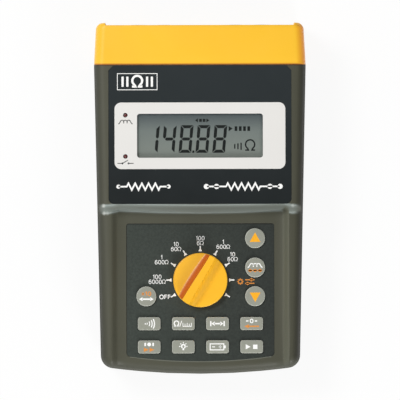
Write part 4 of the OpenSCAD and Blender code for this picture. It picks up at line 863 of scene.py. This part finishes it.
def readingShapes():
    shapes = []
    lean = math.tan(math.radians(reading["slant"]))
    count = len(reading["digits"])
    pointWide, pointHigh = reading["pointSize"]
    for i, kind in enumerate(reading["digits"]):
        left = reading["lastRight"] - reading["digitWidth"] - (count - 1 - i) * reading["pitch"]
        shapes += digitShapes(kind, left)
        if i + 1 == reading["pointAfter"]:
            pointX = left + reading["digitWidth"] + reading["pointRight"]
            shapes += bar(pointX, reading["lowY"] + pointHigh / 2, pointWide, pointHigh)
    shapes = [[(x + (y - reading["lowY"]) * lean, y) for x, y in shape] for shape in shapes]
    shapes += omega(*displaySigns["ohm"])
    for line in (displaySigns["rising"], displaySigns["row"]):
        for i in range(line["count"]):
            height = line["height"] + i * line["growth"]
            shapes += bar(line["x"] + i * line["pitch"], line["y"], line["width"], height)
    for arrow in displaySigns["arrows"]:
        shapes += wedge(*arrow)
    for block in displaySigns["blocks"]:
        shapes += bar(*block)
    return shapes


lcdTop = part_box("lcd_glass")[1].z
printLayer("lcd_segments", readingShapes(), lcdTop, "case", "lcd segments", inkThick["film"])

# Signs on the white surround: a winding under the upper lamp, an open contact under the lower one
lampSigns = {
    "coil": (-54.4, 56.0, 10.6),
    "pen": 0.6,
    "contact": (-54.4, 25.9),
    "contactHalf": 2.2,
    "contactDot": 0.7,
    "arm": (4.0, 2.3),
    "leadOut": 4.2,
    "leadLong": 3.4,
}


def lampSignShapes():
    pen = lampSigns["pen"]
    x, y = lampSigns["contact"]
    pivot = x - lampSigns["contactHalf"]
    shapes = coil(*lampSigns["coil"], pen)
    for side in (-1, 1):
        shapes += disc(x + side * lampSigns["contactHalf"], y, lampSigns["contactDot"], 12)
        shapes += bar(x + side * lampSigns["leadOut"], y, lampSigns["leadLong"], pen)
    reach, rise = lampSigns["arm"]
    return shapes + strokes([(pivot, y), (pivot + reach, y + rise)], pen)


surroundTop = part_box("display_surround")[1].z
printLayer("lamp_signs", lampSignShapes(), surroundTop, "case", "dark print",
           inkThick["film"])

# Plain circuit signs on the dark label: a framed resistance sign, a resistor and a four-lead measurement
labelSigns = {
    "frame": ((-60.2, 79.6), (-31.2, 91.4)),
    "framePen": 0.5,
    "ohm": (-45.7, 85.5, 8.6, 1.6),
    "posts": (-56.4, -52.9, -38.5, -35.0),
    "postY": 85.5,
    "postSize": (1.6, 7.4),
    "circuitY": 8.9,
    "circuitPen": 1.15,
    "toothHeight": 4.8,
    "toothCount": 5,
    "circuits": [
        {"ends": (-59.6, -23.0), "teeth": (-53.5, -29.0), "dots": (-59.6, -23.0), "dot": 1.5},
        {"ends": (5.0, 58.0), "teeth": (19.0, 44.0), "dots": (4.6, 12.0, 51.0, 58.4), "dot": 1.9},
    ],
}


def zigzag(fromX, toX, y):
    peaks = 2 * labelSigns["toothCount"]
    step = (toX - fromX) / peaks
    line = [(fromX, y)]
    for i in range(peaks):
        side = 1 if i % 2 == 0 else -1
        line.append((fromX + step * (i + 0.5), y + side * labelSigns["toothHeight"] / 2))
    return line + [(toX, y)]


def labelShapes():
    (left, low), (right, high) = labelSigns["frame"]
    outline = [(left, low), (right, low), (right, high), (left, high)]
    shapes = strokes(outline, labelSigns["framePen"], closed=True) + omega(*labelSigns["ohm"])
    for x in labelSigns["posts"]:
        shapes += bar(x, labelSigns["postY"], *labelSigns["postSize"])
    y = labelSigns["circuitY"]
    for circuit in labelSigns["circuits"]:
        start, end = circuit["ends"]
        line = [(start, y)] + zigzag(*circuit["teeth"], y) + [(end, y)]
        shapes += strokes(line, labelSigns["circuitPen"])
        for x in circuit["dots"]:
            shapes += disc(x, y, circuit["dot"], 20)
    return shapes


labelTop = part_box("front_label")[1].z
printLayer("label_signs", labelShapes(), labelTop, "case", "white print", inkThick["film"])
print("display printed")

# Dial round the knob: nine marks, plain numbers and OFF. Places are measured from its centre.
dial = {
    "centre": (0.0, -59.5),
    "firstAngle": -30,
    "step": 30,
    "marks": 9,
    # a mark as (distance from the centre, width)
    "mark": [(21.0, 2.3), (21.5, 2.3), (22.7, 0.9), (24.9, 0.9)],
    "digitHeight": 2.85,
    "pen": 0.40,
    "ohmPen": 0.36,
    "linePitch": 3.6,
    "ohmShift": 0.46,
    "lineShift": 0.5,
    "numbers": {
        (0.0, 28.8): ("100", "6"),
        (-17.7, 24.5): ("10", "60"),
        (-28.3, 14.9): ("1", "600"),
        (-31.6, 0.6): ("100", "6000"),
        (16.8, 26.1): ("1", "600"),
        (23.6, 17.0): ("10", "60"),
    },
    "offPlace": (-25.8, -12.3),
    "offDrawing": (2.9, 0.6, 1.15),  # height, pen and how broad
}
# Sign at the mark for settings: a toothed ring and two sliders
settingSign = {
    "ring": (29.3, -60.7, 2.3),
    "sliders": ((-59.4, 37.4), (-62.0, 34.6)),  # height of each line, place of its button
    "lineEnds": (32.8, 39.6),
    "pen": 0.8,
    "button": 1.15,
}


def dialMark(angle):
    centre = Vector(dial["centre"])
    out = Vector((math.cos(angle), math.sin(angle)))
    side = Vector((-out.y, out.x))
    right = [tuple(centre + out * distance - side * width / 2) for distance, width in dial["mark"]]
    left = [tuple(centre + out * distance + side * width / 2) for distance, width in reversed(dial["mark"])]
    return right + left


def dialShapes():
    shapes = [dialMark(math.radians(dial["firstAngle"] + i * dial["step"])) for i in range(dial["marks"])]
    cx, cy = dial["centre"]
    tall, pen = dial["digitHeight"], dial["pen"]
    for (x, y), (upper, lower) in dial["numbers"].items():
        up, down = cy + y + dial["linePitch"] / 2, cy + y - dial["linePitch"] / 2
        lineX = cx + x - tall * dial["lineShift"]
        half = sum(penLines[c][0] + letterGap for c in lower) * tall / 2
        shapes += lettering(upper, cx + x, up, tall, pen)
        shapes += lettering(lower, lineX, down, tall, pen)
        shapes += omega(lineX + half + tall * dial["ohmShift"], down, tall, dial["ohmPen"])
    offX, offY = dial["offPlace"]
    return shapes + lettering("OFF", cx + offX, cy + offY, *dial["offDrawing"])


def toothedRing(x, y, radius):
    shapes = strokes(arc(x, y, radius * 0.62, 0, 345, 23), radius * 0.34, closed=True)
    for i in range(8):
        angle = math.radians(45 * i)
        start = (x + radius * 0.7 * math.cos(angle), y + radius * 0.7 * math.sin(angle))
        end = (x + radius * math.cos(angle), y + radius * math.sin(angle))
        shapes += strokes([start, end], radius * 0.32)
    return shapes


def settingShapes():
    shapes = toothedRing(*settingSign["ring"])
    left, right = settingSign["lineEnds"]
    for y, buttonX in settingSign["sliders"]:
        shapes += strokes([(left, y), (right, y)], settingSign["pen"])
        shapes += disc(buttonX, y, settingSign["button"], 16)
    return shapes


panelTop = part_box("keypad_panel")[1].z
printLayer("dial_print", dialShapes(), panelTop, "case", "white print")
printLayer("dial_print_orange", settingShapes(), panelTop, "case", "orange print")

# Key signs, drawn about the middle of each key
keyArt = {
    "triangle": {"half": 3.95, "base": 2.7, "tip": 4.3},
    "select": {"coilUp": 1.4, "coilSize": 11.0, "coilPen": 0.75, "down": 2.2, "half": 5.2, "pen": 0.8,
               "dots": (-3.6, 0, 3.6), "dot": 1.2},
    "range": {"text": (2.9, 0.65, 1.15), "up": 1.9, "down": 2.0, "arrow": (3.0, 5.3, 2.5, 1.4, 1.1)},
    "beeper": {"left": 3.0, "dotLeft": 2.8, "dot": 0.5, "pen": 0.55, "penGrowth": 0.04,
               "waves": ((1.6, 26), (3.4, 30), (5.2, 30), (6.9, 30))},
    "length": {"ohmLeft": 5.0, "ohm": (4.0, 0.75), "slash": ((-2.6, -2.1), (-1.2, 2.1)), "slashPen": 0.55,
               "base": ((-0.6, -1.9), (6.2, -1.9)), "basePen": 0.6, "ticks": 5, "tickX": -0.3, "tickY": -0.9,
               "pitch": 1.55, "tick": (0.5, 1.7), "longTick": 0.6},
    "unit": {"arrow": (2.4, 4.4, 2.4, 1.6, 1.1), "stopOut": 4.9, "stop": (1.0, 3.8)},
    "zero": {"up": 1.9, "text": (2.7, 0.7, 1.2), "dashOut": 3.2, "dash": (1.8, 0.9), "down": 2.0,
             "shaft": (-2.4, 5.4), "pen": 1.0, "tip": -5.4, "head": (3.2, 1.5)},
    "record": {"up": 1.9, "disc": 1.4, "barOut": 2.9, "bar": (1.2, 2.4), "down": 2.0, "tips": (-0.3, 3.9),
               "head": (-3.6, 1.5)},
    "backlight": {"up": 0.4, "bulb": 1.3, "pen": 0.95, "capDown": 1.6, "cap": (1.3, 1.5), "rays": 5,
                  "rayFrom": 2.1, "rayTo": 3.1, "rayPen": 0.65},
    "charge": {"left": 5.4, "right": 4.6, "half": 2.2, "pen": 0.75, "pole": (5.5, 1.0, 2.0), "minus": -2.9,
               "plus": 2.0, "long": 2.1, "thin": 0.7},
    "start": {"tip": -0.8, "head": (-3.6, 1.9), "stop": 2.6, "square": 3.2},
}


def doubleArrow(x, y, shaft, reach, head, half, pen):
    shapes = strokes([(x - shaft, y), (x + shaft, y)], pen)
    return shapes + wedge(x - reach, y, head, half) + wedge(x + reach, y, -head, half)


def triangle(x, y, up):
    # up is 1 or -1
    art = keyArt["triangle"]
    base = y - up * art["base"]
    return [[(x - art["half"], base), (x + art["half"], base), (x, y + up * art["tip"])]]


def upSign(x, y):
    return [], triangle(x, y, 1)


def downSign(x, y):
    return [], triangle(x, y, -1)


def selectSign(x, y):
    art = keyArt["select"]
    low = y - art["down"]
    orange = strokes([(x - art["half"], low), (x + art["half"], low)], art["pen"])
    for across in art["dots"]:
        orange += disc(x + across, low, art["dot"], 16)
    return coil(x, y + art["coilUp"], art["coilSize"], art["coilPen"]), orange


def rangeSign(x, y):
    art = keyArt["range"]
    return doubleArrow(x, y - art["down"], *art["arrow"]), lettering("x10", x, y + art["up"], *art["text"])


def beeperSign(x, y):
    art = keyArt["beeper"]
    white = disc(x - art["dotLeft"], y, art["dot"], 12)
    for radius, reach in art["waves"]:
        wave = arc(x - art["left"], y, radius, -reach, reach, 8)
        white += strokes(wave, art["pen"] + radius * art["penGrowth"])
    return white, []


def lengthSign(x, y):
    art = keyArt["length"]
    white = omega(x - art["ohmLeft"], y, *art["ohm"])
    for line, pen in ((art["base"], art["basePen"]), (art["slash"], art["slashPen"])):
        white += strokes([(x + px, y + py) for px, py in line], pen)
    wide, high = art["tick"]
    for i in range(art["ticks"]):
        more = art["longTick"] if i % 2 == 0 else 0
        white += bar(x + art["tickX"] + i * art["pitch"], y + art["tickY"] + more / 2, wide, high + more)
    return white, []


def unitSign(x, y):
    art = keyArt["unit"]
    white = doubleArrow(x, y, *art["arrow"])
    for side in (-1, 1):
        white += bar(x + side * art["stopOut"], y, *art["stop"])
    return white, []


def zeroSign(x, y):
    art = keyArt["zero"]
    high, low = y + art["up"], y - art["down"]
    white = lettering("0", x, high, *art["text"])
    for side in (-1, 1):
        white += bar(x + side * art["dashOut"], high, *art["dash"])
    shaft = strokes([(x + end, low) for end in art["shaft"]], art["pen"])
    return white, shaft + wedge(x + art["tip"], low, *art["head"])


def recordSign(x, y):
    art = keyArt["record"]
    high = y + art["up"]
    white = disc(x, high, art["disc"], 20)
    for side in (-1, 1):
        white += bar(x + side * art["barOut"], high, *art["bar"])
    orange = []
    for tip in art["tips"]:
        orange += wedge(x + tip, y - art["down"], *art["head"])
    return white, orange


def backlightSign(x, y):
    art = keyArt["backlight"]
    middle = y + art["up"]
    white = strokes(arc(x, middle, art["bulb"], -60, 240, 16), art["pen"])
    white += bar(x, y - art["capDown"], *art["cap"])
    starts = arc(x, middle, art["rayFrom"], 0, 180, art["rays"] - 1)
    ends = arc(x, middle, art["rayTo"], 0, 180, art["rays"] - 1)
    for start, end in zip(starts, ends):
        white += strokes([start, end], art["rayPen"])
    return white, []


def chargeSign(x, y):
    art = keyArt["charge"]
    left, right, low, high = x - art["left"], x + art["right"], y - art["half"], y + art["half"]
    white = strokes([(left, low), (right, low), (right, high), (left, high)], art["pen"], closed=True)
    poleOut, poleWide, poleHigh = art["pole"]
    white += bar(x + poleOut, y, poleWide, poleHigh)
    for across in (art["minus"], art["plus"]):
        white += bar(x + across, y, art["long"], art["thin"])
    return white + bar(x + art["plus"], y, art["thin"], art["long"]), []


def startSign(x, y):
    art = keyArt["start"]
    white = wedge(x + art["tip"], y, *art["head"])
    return white + bar(x + art["stop"], y, art["square"], art["square"]), []


keySigns = {
    "up": upSign, "down": downSign, "select": selectSign, "range": rangeSign, "beeper": beeperSign,
    "length": lengthSign, "unit": unitSign, "zero": zeroSign, "record": recordSign,
    "backlight": backlightSign, "charge": chargeSign, "start": startSign,
}
brightKeys = ("up", "down")


def printKey(key, draw):
    low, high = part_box("button_" + key)
    white, orange = draw((low.x + high.x) / 2 / mm, (low.y + high.y) / 2 / mm)
    orangeFinish = "bright orange print" if key in brightKeys else "orange print"
    body = key + "_key"
    if white:
        printLayer("print_" + key, white, high.z, body, "white print")
    if orange:
        printLayer("print_" + key + "_orange", orange, high.z, body, orangeFinish)


for keyName, keyDrawing in keySigns.items():
    printKey(keyName, keyDrawing)
print("dial and keys printed")
